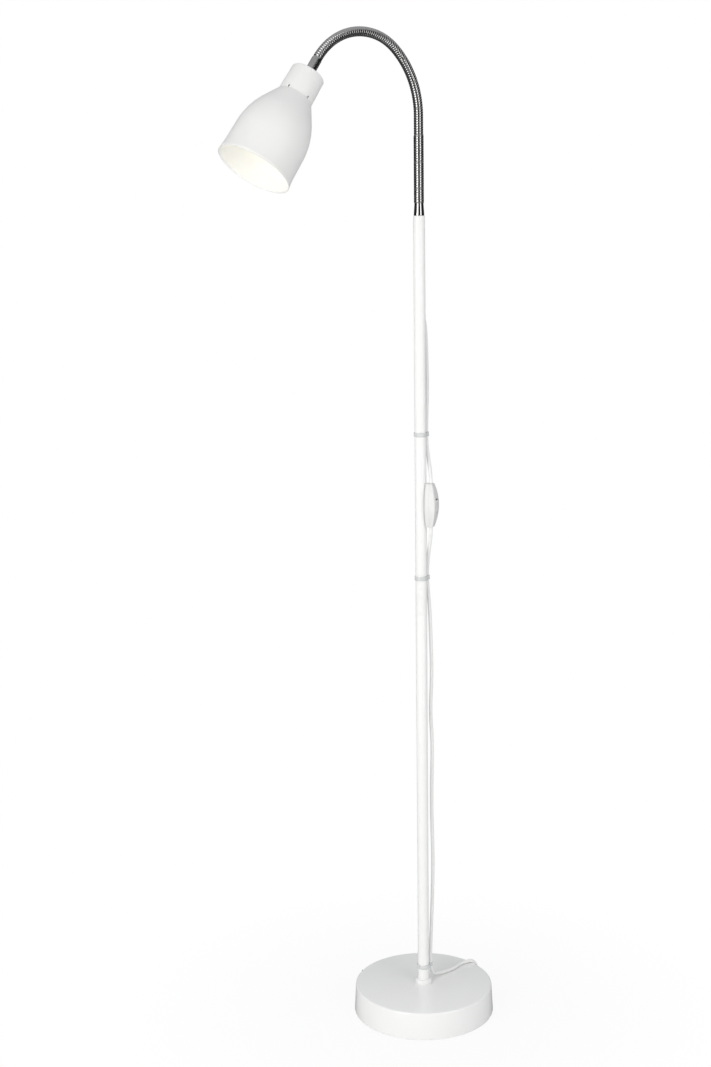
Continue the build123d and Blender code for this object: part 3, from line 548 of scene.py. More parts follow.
TAIL_ROUTE = [
    tuple(in_hank(HANK_HALF_RUN + 18, HANK_RADII[-1], HANK_LOW + HANK_LAYER)),
    tuple(PLUG_REAR - PLUG_HEADING * (RELIEF_LENGTH + 9)),
    tuple(PLUG_REAR - PLUG_HEADING * RELIEF_LENGTH),
]
RUN_CORNERS = (-18.3, -6.7, 6.7, 18.3)      # along a run; the inner two are at the tie
TURN_ANGLES = (67.5, 22.5, -22.5, -67.5)    # corners of a half-turn
TURN_REACH = 1.0824                         # how far a corner lies outside its half-turn


def hank_route():
    """The hank's runs, drawn in at the tie, and the half-turns between them."""
    route = []
    height = HANK_LOW
    for run, (radius, waist) in enumerate(zip(HANK_RADII, HANK_WAISTS)):
        way = 1 if run % 2 == 0 else -1
        rise = HANK_LAYER if run == CLIMB_RUN else 0.0
        for x in RUN_CORNERS:
            y = waist if abs(x) < 10 else radius
            share = 0.5 + x / (2 * HANK_HALF_RUN)
            route.append(tuple(in_hank(way * x, way * y, height + rise * share)))
        height += rise
        if run < len(HANK_RADII) - 1:
            after = HANK_RADII[run + 1]
            middle, reach = way * (radius - after) / 2, TURN_REACH * (radius + after) / 2
            for angle in TURN_ANGLES:
                route.append(tuple(in_hank(way * (HANK_HALF_RUN + reach * cos(radians(angle))),
                                           middle + way * reach * sin(radians(angle)), height)))
    return route


# ---------------------------------------------------------------- operators, one for each group
class PieceOperator(bpy.types.Operator):
    """Builds pieces of the lamp"""
    bl_options = {"REGISTER", "UNDO"}

    def execute(self, context):
        self.build(context)
        return {"FINISHED"}


CAMERA_AT = (-1411.1, -1785.8, 1150.3)
CAMERA_WAY = (0.588, 0.809, 0.0)
CAMERA_PITCH = 10.84        # degrees down
CAMERA_ROLL = -0.78
CAMERA_LENS = 55.862        # mm, with the sensor's height below
CAMERA_SENSOR = 36.0


class LAMP_OT_camera(PieceOperator):
    """Set the camera at the photograph's place and angle"""
    bl_idname = "lamp.camera"
    bl_label = "Camera"

    def build(self, context):
        pitch, roll = radians(CAMERA_PITCH), radians(CAMERA_ROLL)
        level = Vector(CAMERA_WAY).normalized()
        forward = level * cos(pitch) - Vector((0, 0, sin(pitch)))
        right = Vector((level.y, -level.x, 0.0))
        up = right.cross(forward)
        right, up = right * cos(roll) + up * sin(roll), up * cos(roll) - right * sin(roll)
        camera = bpy.data.cameras.new("camera")
        camera.sensor_fit = "VERTICAL"
        camera.sensor_height = CAMERA_SENSOR
        camera.lens = CAMERA_LENS
        camera.clip_start, camera.clip_end = 0.05, 60.0
        obj = bpy.data.objects.new("camera", camera)
        place = Matrix((right, up, -forward)).transposed().to_4x4()
        place.translation = Vector(CAMERA_AT) * MM
        obj.matrix_world = place
        context.scene.collection.objects.link(obj)
        context.scene.camera = obj
        context.scene.view_settings.view_transform = "Standard"


PLUG_LENGTH = 28.0
PLUG_REAR_SIZE = (15.0, 10.0)       # width and height at the strain relief
PLUG_GAIN = (20.0, 3.6)             # what they gain towards the pins
PLUG_BELLY = 1.3                    # how late the width grows
PLUG_EDGE = 3.4
RELIEF_RADII = (3.3, 4.6)           # at the cord and at the plug
RELIEF_BORE = 2.55
RELIEF_DEPTH = 1.5                  # reaches this far into the plug
GROOVES = 5
GROOVE_START, GROOVE_PITCH, GROOVE_DEPTH = -17.0, 3.4, 0.7
PIN_PLACES = (-9.5, 9.5)
PIN_SECTION = ((0.0, 20.0), (1.6, 20.0), (1.6, 28.0), (2.0, 28.0), (2.0, 47.0, 0.9), (0.0, 47.0))
TIE_HALF_WIDE = 17.4
TIE_BOTTOM, TIE_TOP = 0.2, 12.5
TIE_HALF_LONG = 3.5
TIE_CORNER = 3.2
TIE_WALL = 0.7
TIE_SHIFT = (17.5 - 13.9) / 2       # the cords it holds aren't centred on the hank


class LAMP_OT_plug(PieceOperator):
    """Build the plug, its strain relief, its pins and the hank's tie"""
    bl_idname = "lamp.plug"
    bl_label = "Plug and tie"

    def build(self, context):
        shell = block((-0.5, -0.5, 0.0), (0.5, 0.5, PLUG_LENGTH))
        along = [edge for edge in shell.edges if spans(edge, 2, 0.01)]
        bmesh.ops.subdivide_edges(shell, edges=along, cuts=9, use_grid_fill=True)
        for vert in shell.verts:
            share = vert.co.z / (PLUG_LENGTH * MM)
            belly = sin(share * pi / 2) ** PLUG_BELLY
            vert.co.x *= PLUG_REAR_SIZE[0] + PLUG_GAIN[0] * belly
            vert.co.y *= PLUG_REAR_SIZE[1] + PLUG_GAIN[1] * share
        long_edges = [e for e in shell.edges if e.is_manifold and e.calc_face_angle() > 1.0]
        rounded(shell, long_edges, PLUG_EDGE, 5)
        body = as_object("plug_shell", tidied(shell), PLUG_PLACE, 40)
        finished(body, [white_plastic()], "stand", "white_plastic", "plug_body")

        thin, thick = RELIEF_RADII
        profile = [(RELIEF_BORE, -RELIEF_LENGTH), (thin, -RELIEF_LENGTH, 0.3)]
        for groove in range(GROOVES):
            level = GROOVE_START + groove * GROOVE_PITCH
            wide = thin + 1.3 * (level + RELIEF_LENGTH) / RELIEF_LENGTH
            profile += [(wide, level), (wide - GROOVE_DEPTH, level + 0.4),
                        (wide - GROOVE_DEPTH, level + 1.2), (wide + 0.1, level + 1.6)]
        profile += [(thick, -0.4), (thick, RELIEF_DEPTH), (RELIEF_BORE, RELIEF_DEPTH)]
        relief = as_object("plug_relief", lathe(profile, 40), PLUG_PLACE, 40)
        finished(relief, [white_plastic()], "stand", "white_plastic", "plug_body")

        pins = bmesh.new()
        for side in PIN_PLACES:
            pin = lathe(PIN_SECTION, 28, closed=False)
            bmesh.ops.translate(pin, vec=(side * MM, 0, 0), verts=pin.verts)
            mesh = bpy.data.meshes.new("pin")
            pin.to_mesh(mesh)
            pins.from_mesh(mesh)
            bpy.data.meshes.remove(mesh)
            pin.free()
        pins = as_object("plug_contact_pins", pins, PLUG_PLACE)
        finished(pins, [nickel_plate()], "stand", "pin_nickel", "plug_pins")

        band = block((-TIE_HALF_WIDE, TIE_BOTTOM, -TIE_HALF_LONG),
                     (TIE_HALF_WIDE, TIE_TOP, TIE_HALF_LONG))
        caps = [face for face in band.faces if abs(face.normal.z) > 0.9]
        bmesh.ops.delete(band, geom=caps, context="FACES_ONLY")
        rounded(band, [edge for edge in band.edges if spans(edge, 2, 0.001)], TIE_CORNER, 6)
        place = framed(in_hank(0, TIE_SHIFT, 0), HANK_Y, HANK_X)
        tie = as_object("cord_tie_band", tidied(band), place, 40)
        walled(tie, TIE_WALL * MM)
        finished(tie, [tie_plastic()], "stand", "tie_plastic", "hank_tie")


class LAMP_OT_cords(PieceOperator):
    """Lay the cord down the pole, over the base and into its hank"""
    bl_idname = "lamp.cords"
    bl_label = "Cords"

    def build(self, context):
        upper = cord_curve("cord_above_switch", UPPER_ROUTE)
        finished(upper, [cord_jacket()], "stand", "white_cord", "cord_upper")
        lower = cord_curve("cord_below_switch", LOWER_ROUTE + hank_route() + TAIL_ROUTE)
        finished(lower, [cord_jacket()], "stand", "white_cord", "cord_lower", "cord_hank",
                 "cord_tail")


# Sections are (radius, height) in mm, with a rounding as a third number where a corner has one.
COVER_SECTION = ((5.2, 38.4), (98.0, 38.4), (100.2, 1.0, 0.3), (101.8, 1.0, 0.4),
                 (99.6, BASE_TOP, 2.1), (5.2, BASE_TOP))
COLLAR_SECTION = ((5.2, 40.0), (11.8, 40.0, 0.2), (11.8, 45.4, 0.5), (10.2, 47.0, 0.5),
                  (8.0, 47.0), (8.0, 42.0), (5.2, 42.0))


class LAMP_OT_base(PieceOperator):
    """Spin the base's cover and the collar at the foot of the pole"""
    bl_idname = "lamp.base"
    bl_label = "Base"

    def build(self, context):
        finished(as_object("base_shell", lathe(COVER_SECTION, 180)), [gloss_paint()], "stand",
                 "white_gloss_paint", "base_cover")
        finished(as_object("pole_collar", lathe(COLLAR_SECTION, 72)), [gloss_paint()], "stand",
                 "white_gloss_paint", "foot_collar")


SLEEVE_RADIUS = 4.0
SLEEVE_START = 11.5
OUTLET_CUT = (4.0, 30.0)            # the cutter's reach along the outlet's axis


class LAMP_OT_pole(PieceOperator):
    """Spin the pole's two tubes, pierce the cord's outlet and set its sleeve"""
    bl_idname = "lamp.pole"
    bl_label = "Pole"

    def build(self, context):
        lower = lathe([(POLE_BORE, POLE_FOOT), (POLE_RADIUS, POLE_FOOT),
                       (POLE_RADIUS, POLE_JOINT, POLE_EDGE), (POLE_BORE, POLE_JOINT)], 64)
        finished(as_object("pole_tube_lower", lower), [gloss_paint()], "stand",
                 "white_gloss_paint", "pole_lower")
        upper = lathe([(POLE_BORE, POLE_JOINT), (POLE_RADIUS, POLE_JOINT, POLE_EDGE),
                       (POLE_RADIUS, POLE_TOP, POLE_EDGE), (POLE_BORE, POLE_TOP)], 64)
        drill = rod(SLEEVE_RADIUS + CUT_GAP, *OUTLET_CUT, 40)
        upper = combined(as_object("pole_tube_upper", upper),
                         [as_object("drill", drill, OUTLET_PLACE)])
        finished(upper, [gloss_paint()], "stand", "white_gloss_paint", "pole_upper")
        bore = CORD_RADIUS + CUT_GAP
        sleeve = lathe([(bore, SLEEVE_START), (SLEEVE_RADIUS, SLEEVE_START),
                        (SLEEVE_RADIUS, OUTLET_REACH, 0.9), (bore, OUTLET_REACH, 0.2)], 40)
        finished(as_object("cord_sleeve", sleeve, OUTLET_PLACE), [white_plastic()], "stand",
                 "white_plastic", "cord_grommet")


AROUND_NECK = 36
ROWS = ((0.0, 1.0), (0.07, 0.585), (0.16, 0.185), (0.3, 0.046), (0.5, 0.0), (0.7, 0.046),
        (0.84, 0.185), (0.93, 0.585))       # place along a rib and depth as a share of the groove
HOSE_WALL = 0.45
HIDDEN_END = 5.3        # the hose's radius inside its ferrules
TUCK = 0.2              # it narrows to that this far short of them
LOWER_FERRULE = ((3.0, 1136.0), (4.9, 1136.0), (4.9, 1150.0), (7.1, 1150.0, 0.4),
                 (7.1, 1152.0, 0.5), (6.1, FERRULE_TOP, 0.5), (3.0, FERRULE_TOP))
UPPER_FERRULE = ((3.0, 132.5), (4.9, 132.5), (4.9, 146.5), (6.7, 146.5), (6.7, 169.0, 0.8),
                 (6.1, HEAD_LENGTH, 0.4), (3.0, HEAD_LENGTH))


class LAMP_OT_neck(PieceOperator):
    """Wind the ribbed hose of the neck, a length across each joint, and its ferrules"""
    bl_idname = "lamp.neck"
    bl_label = "Neck"

    def hose(self, context, start, end):
        """Ribbed tube from start to end along the neck, its ribs one long screw."""
        sizes = context.scene.lamp_size
        first, last = (round(s / RIB_PITCH * len(ROWS)) for s in (start, end))
        bm = bmesh.new()
        bmesh.ops.create_grid(bm, x_segments=AROUND_NECK, y_segments=last - first, size=0.5)
        for vert in bm.verts:
            turn = vert.co.x + 0.5
            rib, row = divmod(first + round((vert.co.y + 0.5) * (last - first)), len(ROWS))
            s = (rib + ROWS[row][0] + turn) * RIB_PITCH
            radius = sizes.rib_crest - (sizes.rib_crest - sizes.rib_groove) * ROWS[row][1]
            if s < TUCK or s > NECK_LENGTH - TUCK:
                radius = HIDDEN_END * MM
            angle = 2 * pi * turn
            vert.co = neck_place(s) @ Vector((radius * cos(angle), radius * sin(angle), 0))
        bmesh.ops.remove_doubles(bm, verts=bm.verts, dist=2e-6)
        bmesh.ops.recalc_face_normals(bm, faces=bm.faces)
        return bm

    def build(self, context):
        stops = [(k - 0.5) * LINK for k in range(1, LINKS + 1)]
        stops = [-2 * RIB_PITCH] + stops + [NECK_LENGTH + RIB_PITCH]
        for k, (start, end) in enumerate(zip(stops, stops[1:])):
            length = as_object(f"neck_hose_{k:02d}", self.hose(context, start, end), limit=75)
            walled(length, HOSE_WALL * MM)
            rides = "stand" if k == 0 else "head" if k == LINKS else None
            finished(length, [chrome()], rides, "chrome", f"neck_link_{min(k + 1, LINKS):02d}")
            if rides is None:
                hinge = neck_place(k * LINK)
                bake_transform(length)
        lower = as_object("neck_ferrule_lower", lathe(LOWER_FERRULE, 64))
        finished(lower, [chrome()], "stand", "chrome", "lower_ferrule")
        upper = as_object("neck_ferrule_upper", lathe(UPPER_FERRULE, 64), HEAD_PLACE)
        finished(upper, [chrome()], "head", "chrome", "upper_ferrule")
        for number in range(2, LINKS):
            dressed(f"neck_lead_{number:02d}", lead_sheath())


SHADE_RIM = ((50.4, 0.0), (49.95, 3.5), (49.45, 7.5), (49.08, 11.8))
SHADE_SKIRT = (48.8, 16.0)
SHADE_SHOULDER = (48.3, 42.0)       # the shade's arc starts here
SHADE_CROWN = (36.4, 87.0)          # and ends here
SHADE_TOP = ((23.5, 109.8), (20.2, 109.8))
CAP_SECTION = ((22.0, 109.8), (23.5, 109.8, 0.2), (22.5, 146.5, 1.9), (5.1, 146.5),
               (5.1, 145.0), (21.0, 145.0, 1.4))
VENTS = 5
VENT_START = 45.5                   # degrees round the cap
VENT_CUT = ((21.0, -1.1, 108.0), (26.0, 1.1, 113.4))


class LAMP_OT_head(PieceOperator):
    """Spin the shade and its cap, and cut the cap's vents"""
    bl_idname = "lamp.head"
    bl_label = "Head"

    def build(self, context):
        skirt, shoulder, crown = (Vector(p) for p in (SHADE_SKIRT, SHADE_SHOULDER, SHADE_CROWN))
        along = (shoulder - skirt).normalized()
        inward = Vector((-along.y, along.x))
        chord = crown - shoulder
        radius = chord.length_squared / (2 * chord.dot(inward))
        centre = shoulder + inward * radius
        turn = 2 * atan2(chord.dot(inward), chord.dot(along))
        bm = outline([*SHADE_RIM, SHADE_SKIRT, SHADE_SHOULDER], closed=False)
        bm.verts.ensure_lookup_table()
        end = drawn_arc(bm, bm.verts[len(SHADE_RIM) + 1], centre, turn, 14)
        for point in SHADE_TOP:
            there = bm.verts.new((point[0] * MM, 0, point[1] * MM))
            bm.edges.new((end, there))
            end = there
        shell = as_object("shade_shell", spun(bm, 128), HEAD_PLACE, 40)
        walled(shell, context.scene.lamp_size.shade_wall, inner_material=1)
        finished(shell, [satin_paint(), inner_paint()], "head", "white_satin_paint", "shade")

        cap = as_object("cap_shell", lathe(CAP_SECTION, 96), HEAD_PLACE)
        vents = []
        for vent in range(VENTS):
            angle = radians(VENT_START + vent * 360 / VENTS)
            place = HEAD_PLACE @ Matrix.Rotation(angle, 4, "Z")
            vents.append(as_object("vent_cutter", block(*VENT_CUT), place))
        combined(cap, vents)
        finished(cap, [satin_paint()], "head", "white_satin_paint", "head_cap")


GLOBE_LOW = 41.7            # heights above the shade's rim
GLOBE_CENTRE = 64.2
GLOBE_ANGLE = 126.87        # degrees from the globe's pole to its open edge
GLASS_WALL = 1.2


class LAMP_OT_bulb(PieceOperator):
    """Blow the bulb's opal globe"""
    bl_idname = "lamp.bulb"
    bl_label = "Bulb"

    def build(self, context):
        bm = bmesh.new()
        start = bm.verts.new((0, 0, GLOBE_LOW * MM))
        drawn_arc(bm, start, (0.0, GLOBE_CENTRE), radians(GLOBE_ANGLE), 20)
        globe = as_object("bulb_glass", spun(bm, 64), HEAD_PLACE)
        walled(globe, GLASS_WALL * MM)
        finished(globe, [opal_glass()], "bulb", "opal_glass", "bulb_globe")


SWITCH_HALF_WIDE = 10.5     # at the middle; less towards the ends by the next number
SWITCH_NARROWING = 4.9
SWITCH_DOME = 15.5
SWITCH_FALL = 5.3
SWITCH_WALL = 1.6
SWITCH_EDGE = 1.7
SWITCH_OPEN = 20.0          # above the dome
SEAM_GAP = 0.08             # half the gap between the two halves
WINDOW_CUT = ((-9.6, -5.05, 9.5), (9.6, 5.05, 18.0))
KEY_SECTION = ((8.6, 5.6), (5.0, 5.13), (0.0, 4.9), (-5.0, 5.13), (-8.6, 5.6), (-7.0, -1.0),
               (-2.4, -2.4), (2.4, -2.4), (7.0, -1.0))
KEY_HALF_WIDE = 4.7
KEY_PIVOT = 10.5
KEY_TILT = -7.0             # degrees
AXLE_RADIUS = 1.2
AXLE_HALF = 6.7


class LAMP_OT_switch(PieceOperator):
    """Mould the two halves of the cord's switch and its rocker"""
    bl_idname = "lamp.switch"
    bl_label = "Switch"

    def half_shell(self, name, low, high, inset):
        """Lens-shaped block, domed lengthwise, between two heights above the switch's back."""
        bm = block((-SWITCH_HALF + inset, -1.0, 0.0), (SWITCH_HALF - inset, 1.0, 1.0))
        along = [edge for edge in bm.edges if spans(edge, 0, 0.01)]
        bmesh.ops.subdivide_edges(bm, edges=along, cuts=23, use_grid_fill=True)
        for vert in bm.verts:
            share = vert.co.x / (SWITCH_HALF * MM)
            half_width = SWITCH_HALF_WIDE - SWITCH_NARROWING * share * share - inset
            dome = SWITCH_DOME - SWITCH_FALL * share * share - inset
            vert.co.y *= half_width
            level = low if vert.co.z < 0.5 * MM else min(high, dome)
            vert.co.z = level * MM
        domed = high > SWITCH_DOME
        picked = []
        for edge in bm.edges:
            if not edge.is_manifold or edge.calc_face_angle() < SHARP:
                continue
            middle = (edge.verts[0].co + edge.verts[1].co) / 2
            outer = middle.z > (low + 1.0) * MM if domed else middle.z < (high - 1.0) * MM
            if spans(edge, 2, 0.001) or outer:
                picked.append(edge)
        if inset == 0:
            rounded(bm, picked, SWITCH_EDGE, 5)
        return as_object(name, tidied(bm), SWITCH_PLACE, 35)

    def cord_bore(self):
        """Cutter for the cord's way through the switch."""
        place = framed(SWITCH_CORD + Vector((0, 0, SWITCH_Z)), (1, 0, 0), (0, 0, 1))
        return as_object("bore", rod(CORD_RADIUS + CUT_GAP, -40.0, 40.0, 32), place)

    def build(self, context):
        lower = self.half_shell("switch_lower_half", 0.0, SWITCH_SEAM - SEAM_GAP, 0)
        room = self.half_shell("room", SWITCH_WALL, SWITCH_SEAM + 1, SWITCH_WALL)
        combined(lower, [room, self.cord_bore()], limit=35)
        finished(lower, [white_plastic()], "stand", "white_plastic", "switch_back")

        upper = self.half_shell("switch_upper_half", SWITCH_SEAM + SEAM_GAP, SWITCH_OPEN, 0)
        room = self.half_shell("room", SWITCH_SEAM - 1, SWITCH_OPEN, SWITCH_WALL)
        window = as_object("window", block(*WINDOW_CUT), SWITCH_PLACE)
        combined(upper, [room, self.cord_bore(), window], limit=35)
        finished(upper, [white_plastic()], "stand", "white_plastic", "switch_cover")

        bm = bmesh.new()
        corners = [bm.verts.new((x * MM, -KEY_HALF_WIDE * MM, z * MM)) for x, z in KEY_SECTION]
        grown = bmesh.ops.extrude_face_region(bm, geom=[bm.faces.new(corners)])["geom"]
        moved = [part for part in grown if isinstance(part, bmesh.types.BMVert)]
        bmesh.ops.translate(bm, vec=(0, 2 * KEY_HALF_WIDE * MM, 0), verts=moved)
        bmesh.ops.recalc_face_normals(bm, faces=bm.faces)
        sharp = [e for e in bm.edges if e.is_manifold and e.calc_face_angle() > SHARP]
        rounded(bm, sharp, 0.5, 3)
        axle = rod(AXLE_RADIUS, -AXLE_HALF, AXLE_HALF, 24, 0.2)
        bmesh.ops.rotate(axle, cent=(0, 0, 0), matrix=Matrix.Rotation(pi / 2, 3, "X"),
                         verts=axle.verts)
        place = (SWITCH_PLACE @ Matrix.Translation((0, 0, KEY_PIVOT * MM))
                 @ Matrix.Rotation(radians(KEY_TILT), 4, "Y"))
        rocker = as_object("switch_key", bm, place, 35)
        combined(rocker, [as_object("axle", axle, place)], "UNION", limit=35)
        finished(rocker, [white_plastic()], "rocker", "white_plastic", "switch_rocker")


CLIP_PLACES = ((10.73, 0.14, 853.0), (10.62, -0.05, 650.0), (11.75, -0.95, 66.0))
CLIP_RADIUS = 9.1
LOOP_RADIUS = 3.6
CLIP_HALF = 3.0


class LAMP_OT_clips(PieceOperator):
    """Clip the cord to the pole in three places"""
    bl_idname = "lamp.clips"
    bl_label = "Cord clips"

    def disc(self, name, radius, half, centre, steps, *rim):
        bm = rod(radius, -half, half, steps, *rim)
        bmesh.ops.translate(bm, vec=Vector(centre) * MM, verts=bm.verts)
        return as_object(name, bm)

    def build(self, context):
        for number, (x, y, z) in enumerate(CLIP_PLACES, 1):
            clip = self.disc(f"cord_clip_{number}", CLIP_RADIUS, CLIP_HALF, (0, 0, z), 64, 0.3)
            combined(clip, [self.disc("loop", LOOP_RADIUS, CLIP_HALF - 0.01, (x, y, z), 40, 0.3)],
                     "UNION")
            combined(clip, [self.disc("pole_hole", POLE_RADIUS + 0.03, 5.0, (0, 0, z), 64),
                            self.disc("cord_hole", CORD_RADIUS + 0.03, 6.0, (x, y, z), 40)])
            finished(clip, [clear_plastic()], "stand", "clear_clip", "cord_clips")


def dressed(node, material):
    """Give a CAD node that stays in sight, or inside the lamp, its finish."""
    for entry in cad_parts[node].material_slots:
        entry.material = material


class LAMP_OT_insides(PieceOperator):
    """Give the parts inside the lamp their finishes"""
    bl_idname = "lamp.insides"
    bl_label = "Inside parts"

    def build(self, context):
        for node, make in HIDDEN_NODES.items():
            dressed(node, make())


SOFTBOXES = (               # name, degrees round from the camera, then in metres the distance,
                            # centre's height, width and height, then the share of the level
    ("softbox_left", -36.0, 2.3, 0.85, 1.5, 2.4, 1.0),
    ("softbox_right", 45.0, 2.3, 0.85, 0.9, 2.4, 0.7),
)
AMBIENT = 0.72              # level of the surround, from the side and from below
AMBIENT_ABOVE = 0.74        # its level from straight above
GLEAM_ABOVE = 0.42          # what shiny pieces mirror high up
GLEAM_RISE = (0.25, 0.65)   # sine of the height where that starts and where it is full
GLEAM_BEHIND = (0.94, 1.0)  # cosine of the angle from straight behind the lamp, likewise
FLOOR_GLEAM = 0.06          # what shiny pieces mirror of the floor
CAMERA_SIDE = 231.7         # azimuth from the lamp towards the camera
FLOOR_FADE = (0.12, 0.45)   # metres from the pole over which the floor turns plain white
FLOOR_NEAR = 0.88           # its plain share close to the pole, the rest takes the shadow
LAMP_COLOUR = (1.0, 0.985, 0.95)


def any_ray(nodes, links, rays, kinds):
    """Socket that is 1 for a ray of any of these kinds."""
    socket = rays.outputs[kinds[0]]
    for kind in kinds[1:]:
        either = nodes.new("ShaderNodeMath")
        either.operation = "MAXIMUM"
        links.new(socket, either.inputs[0])
        links.new(rays.outputs[kind], either.inputs[1])
        socket = either.outputs[0]
    return socket


class LAMP_OT_stage(PieceOperator):
    """Set out the floor, the white surround and the studio lamps"""
    bl_idname = "lamp.stage"
    bl_label = "Stage"

    def floor(self, context):
        bm = bmesh.new()
        bmesh.ops.create_grid(bm, x_segments=1, y_segments=1, size=8.0)
        obj = as_object("floor", bm)
        material = bpy.data.materials.new("look_floor")
        material.use_nodes = True
        nodes, links = material.node_tree.nodes, material.node_tree.links
        nodes.clear()
        output = nodes.new("ShaderNodeOutputMaterial")
        mix = nodes.new("ShaderNodeMixShader")
        paint = nodes.new("ShaderNodeBsdfDiffuse")
        paint.inputs["Color"].default_value = (0.86, 0.86, 0.86, 1.0)
        white = nodes.new("ShaderNodeEmission")
        rays = nodes.new("ShaderNodeLightPath")
        seen = any_ray(nodes, links, rays,
                       ("Is Camera Ray", "Is Glossy Ray", "Is Transmission Ray"))
        place = nodes.new("ShaderNodeTexCoord")
        away = nodes.new("ShaderNodeVectorMath")
        away.operation = "LENGTH"
        links.new(place.outputs["Object"], away.inputs[0])
        plain = nodes.new("ShaderNodeMapRange")
        plain.inputs["From Min"].default_value = FLOOR_FADE[0]
        plain.inputs["From Max"].default_value = FLOOR_FADE[1]
        plain.inputs["To Min"].default_value = FLOOR_NEAR
        links.new(away.outputs["Value"], plain.inputs["Value"])
        share = nodes.new("ShaderNodeMath")
        share.operation = "MULTIPLY"
        links.new(seen, share.inputs[0])
        links.new(plain.outputs["Result"], share.inputs[1])
        gleam = nodes.new("ShaderNodeMapRange")
        gleam.inputs["To Min"].default_value = 1.0
        gleam.inputs["To Max"].default_value = FLOOR_GLEAM
        links.new(rays.outputs["Is Glossy Ray"], gleam.inputs["Value"])
        links.new(gleam.outputs["Result"], white.inputs["Strength"])
        links.new(share.outputs[0], mix.inputs["Fac"])
        links.new(paint.outputs[0], mix.inputs[1])
        links.new(white.outputs[0], mix.inputs[2])
        links.new(mix.outputs[0], output.inputs["Surface"])
        obj.data.materials.append(material)

    def surround(self, context):
        world = bpy.data.worlds.new("surround")
        context.scene.world = world
        world.use_nodes = True
        nodes, links = world.node_tree.nodes, world.node_tree.links
        nodes.clear()
        output = nodes.new("ShaderNodeOutputWorld")
        rays = nodes.new("ShaderNodeLightPath")
        fill = nodes.new("ShaderNodeBackground")
        fill.inputs["Color"].default_value = (0.965, 0.98, 1.0, 1.0)
        white = nodes.new("ShaderNodeBackground")
        white.inputs["Color"].default_value = (1.0, 1.0, 1.0, 1.0)
        white.inputs["Strength"].default_value = 1.0
        place = nodes.new("ShaderNodeTexCoord")
        rise = nodes.new("ShaderNodeVectorMath")
        rise.operation = "DOT_PRODUCT"
        rise.inputs[1].default_value = (0.0, 0.0, 1.0)
        links.new(place.outputs["Generated"], rise.inputs[0])
        fade = nodes.new("ShaderNodeMapRange")
        fade.inputs["To Min"].default_value = AMBIENT
        fade.inputs["To Max"].default_value = AMBIENT_ABOVE
        links.new(rise.outputs["Value"], fade.inputs["Value"])
        links.new(fade.outputs["Result"], fill.inputs["Strength"])
        facing = nodes.new("ShaderNodeVectorMath")
        facing.operation = "DOT_PRODUCT"
        facing.inputs[1].default_value = -around(1, CAMERA_SIDE)
        links.new(place.outputs["Generated"], facing.inputs[0])
        ramp = nodes.new("ShaderNodeValToRGB")
        ramp.color_ramp.elements[0].position = GLEAM_BEHIND[0]
        ramp.color_ramp.elements[0].color = (0.02, 0.02, 0.022, 1.0)
        ramp.color_ramp.elements[1].position = GLEAM_BEHIND[1]
        ramp.color_ramp.elements[1].color = (1.0, 1.0, 1.0, 1.0)
        links.new(facing.outputs["Value"], ramp.inputs["Fac"])
        high = nodes.new("ShaderNodeMapRange")
        high.inputs["From Min"].default_value = GLEAM_RISE[0]
        high.inputs["From Max"].default_value = GLEAM_RISE[1]
        high.inputs["To Max"].default_value = GLEAM_ABOVE
        links.new(rise.outputs["Value"], high.inputs["Value"])
        both = nodes.new("ShaderNodeVectorMath")
        both.operation = "MAXIMUM"
        links.new(ramp.outputs["Color"], both.inputs[0])
        links.new(high.outputs["Result"], both.inputs[1])
        cards = nodes.new("ShaderNodeBackground")
        links.new(both.outputs["Vector"], cards.inputs["Color"])
        plain = any_ray(nodes, links, rays, ("Is Camera Ray", "Is Transmission Ray"))
        shiny = nodes.new("ShaderNodeMixShader")
        links.new(rays.outputs["Is Glossy Ray"], shiny.inputs["Fac"])
        links.new(fill.outputs[0], shiny.inputs[1])
        links.new(cards.outputs[0], shiny.inputs[2])
        whole = nodes.new("ShaderNodeMixShader")
        links.new(plain, whole.inputs["Fac"])
        links.new(shiny.outputs[0], whole.inputs[1])
        links.new(white.outputs[0], whole.inputs[2])
        links.new(whole.outputs[0], output.inputs["Surface"])

    def build(self, context):
        self.floor(context)
        self.surround(context)
        level = context.scene.lamp_size.softbox_level
        for name, side, distance, height, width, tall, share in SOFTBOXES:
            lamp = bpy.data.lights.new(name, "AREA")
            lamp.shape = "RECTANGLE"
            lamp.size, lamp.size_y = width, tall
            lamp.energy = pi * width * tall * level * share
            lamp.color = LAMP_COLOUR
            obj = bpy.data.objects.new(name, lamp)
            away = around(1, CAMERA_SIDE + side)
            upright = Vector((0, 0, 1))
            place = Matrix((upright.cross(away), upright, away)).transposed().to_4x4()
            place.translation = away * distance + Vector((-0.1, 0, height))
            obj.matrix_world = place
            context.scene.collection.objects.link(obj)


STEPS = (LAMP_OT_camera, LAMP_OT_plug, LAMP_OT_switch, LAMP_OT_cords, LAMP_OT_base, LAMP_OT_pole,
         LAMP_OT_neck, LAMP_OT_head, LAMP_OT_bulb, LAMP_OT_clips, LAMP_OT_insides, LAMP_OT_stage)


class LAMP_PT_panel(bpy.types.Panel):
    """Lists the lamp's settings and its pieces"""
    bl_idname = "LAMP_PT_panel"
    bl_label = "Gooseneck floor lamp"
    bl_space_type = "VIEW_3D"
    bl_region_type = "UI"
    bl_category = "Lamp"

    def draw(self, context):
        for group in (context.scene.lamp_finish, context.scene.lamp_size):
            for name in group.__annotations__:
                self.layout.prop(group, name)
        for step in STEPS:
            self.layout.operator(step.bl_idname)


CLASSES = (LampFinishSettings, LampSizeSettings, *STEPS, LAMP_PT_panel)


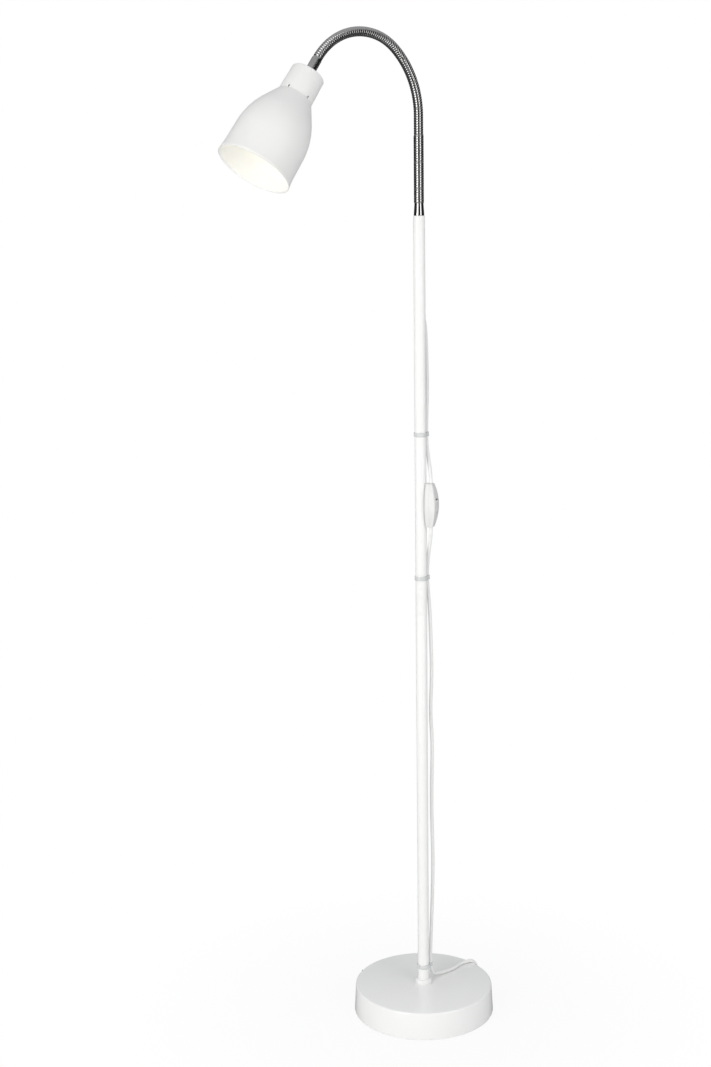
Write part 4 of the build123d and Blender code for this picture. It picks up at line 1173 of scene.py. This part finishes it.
def register():
    for entry in CLASSES:
        bpy.utils.register_class(entry)
    bpy.types.Scene.lamp_finish = bpy.props.PointerProperty(type=LampFinishSettings)
    bpy.types.Scene.lamp_size = bpy.props.PointerProperty(type=LampSizeSettings)


def unregister():
    del bpy.types.Scene.lamp_finish
    del bpy.types.Scene.lamp_size
    for entry in reversed(CLASSES):
        bpy.utils.unregister_class(entry)


def main():
    register()
    for step in STEPS:
        group, name = step.bl_idname.split(".")
        getattr(getattr(bpy.ops, group), name)()


if __name__ == "__main__":
    main()
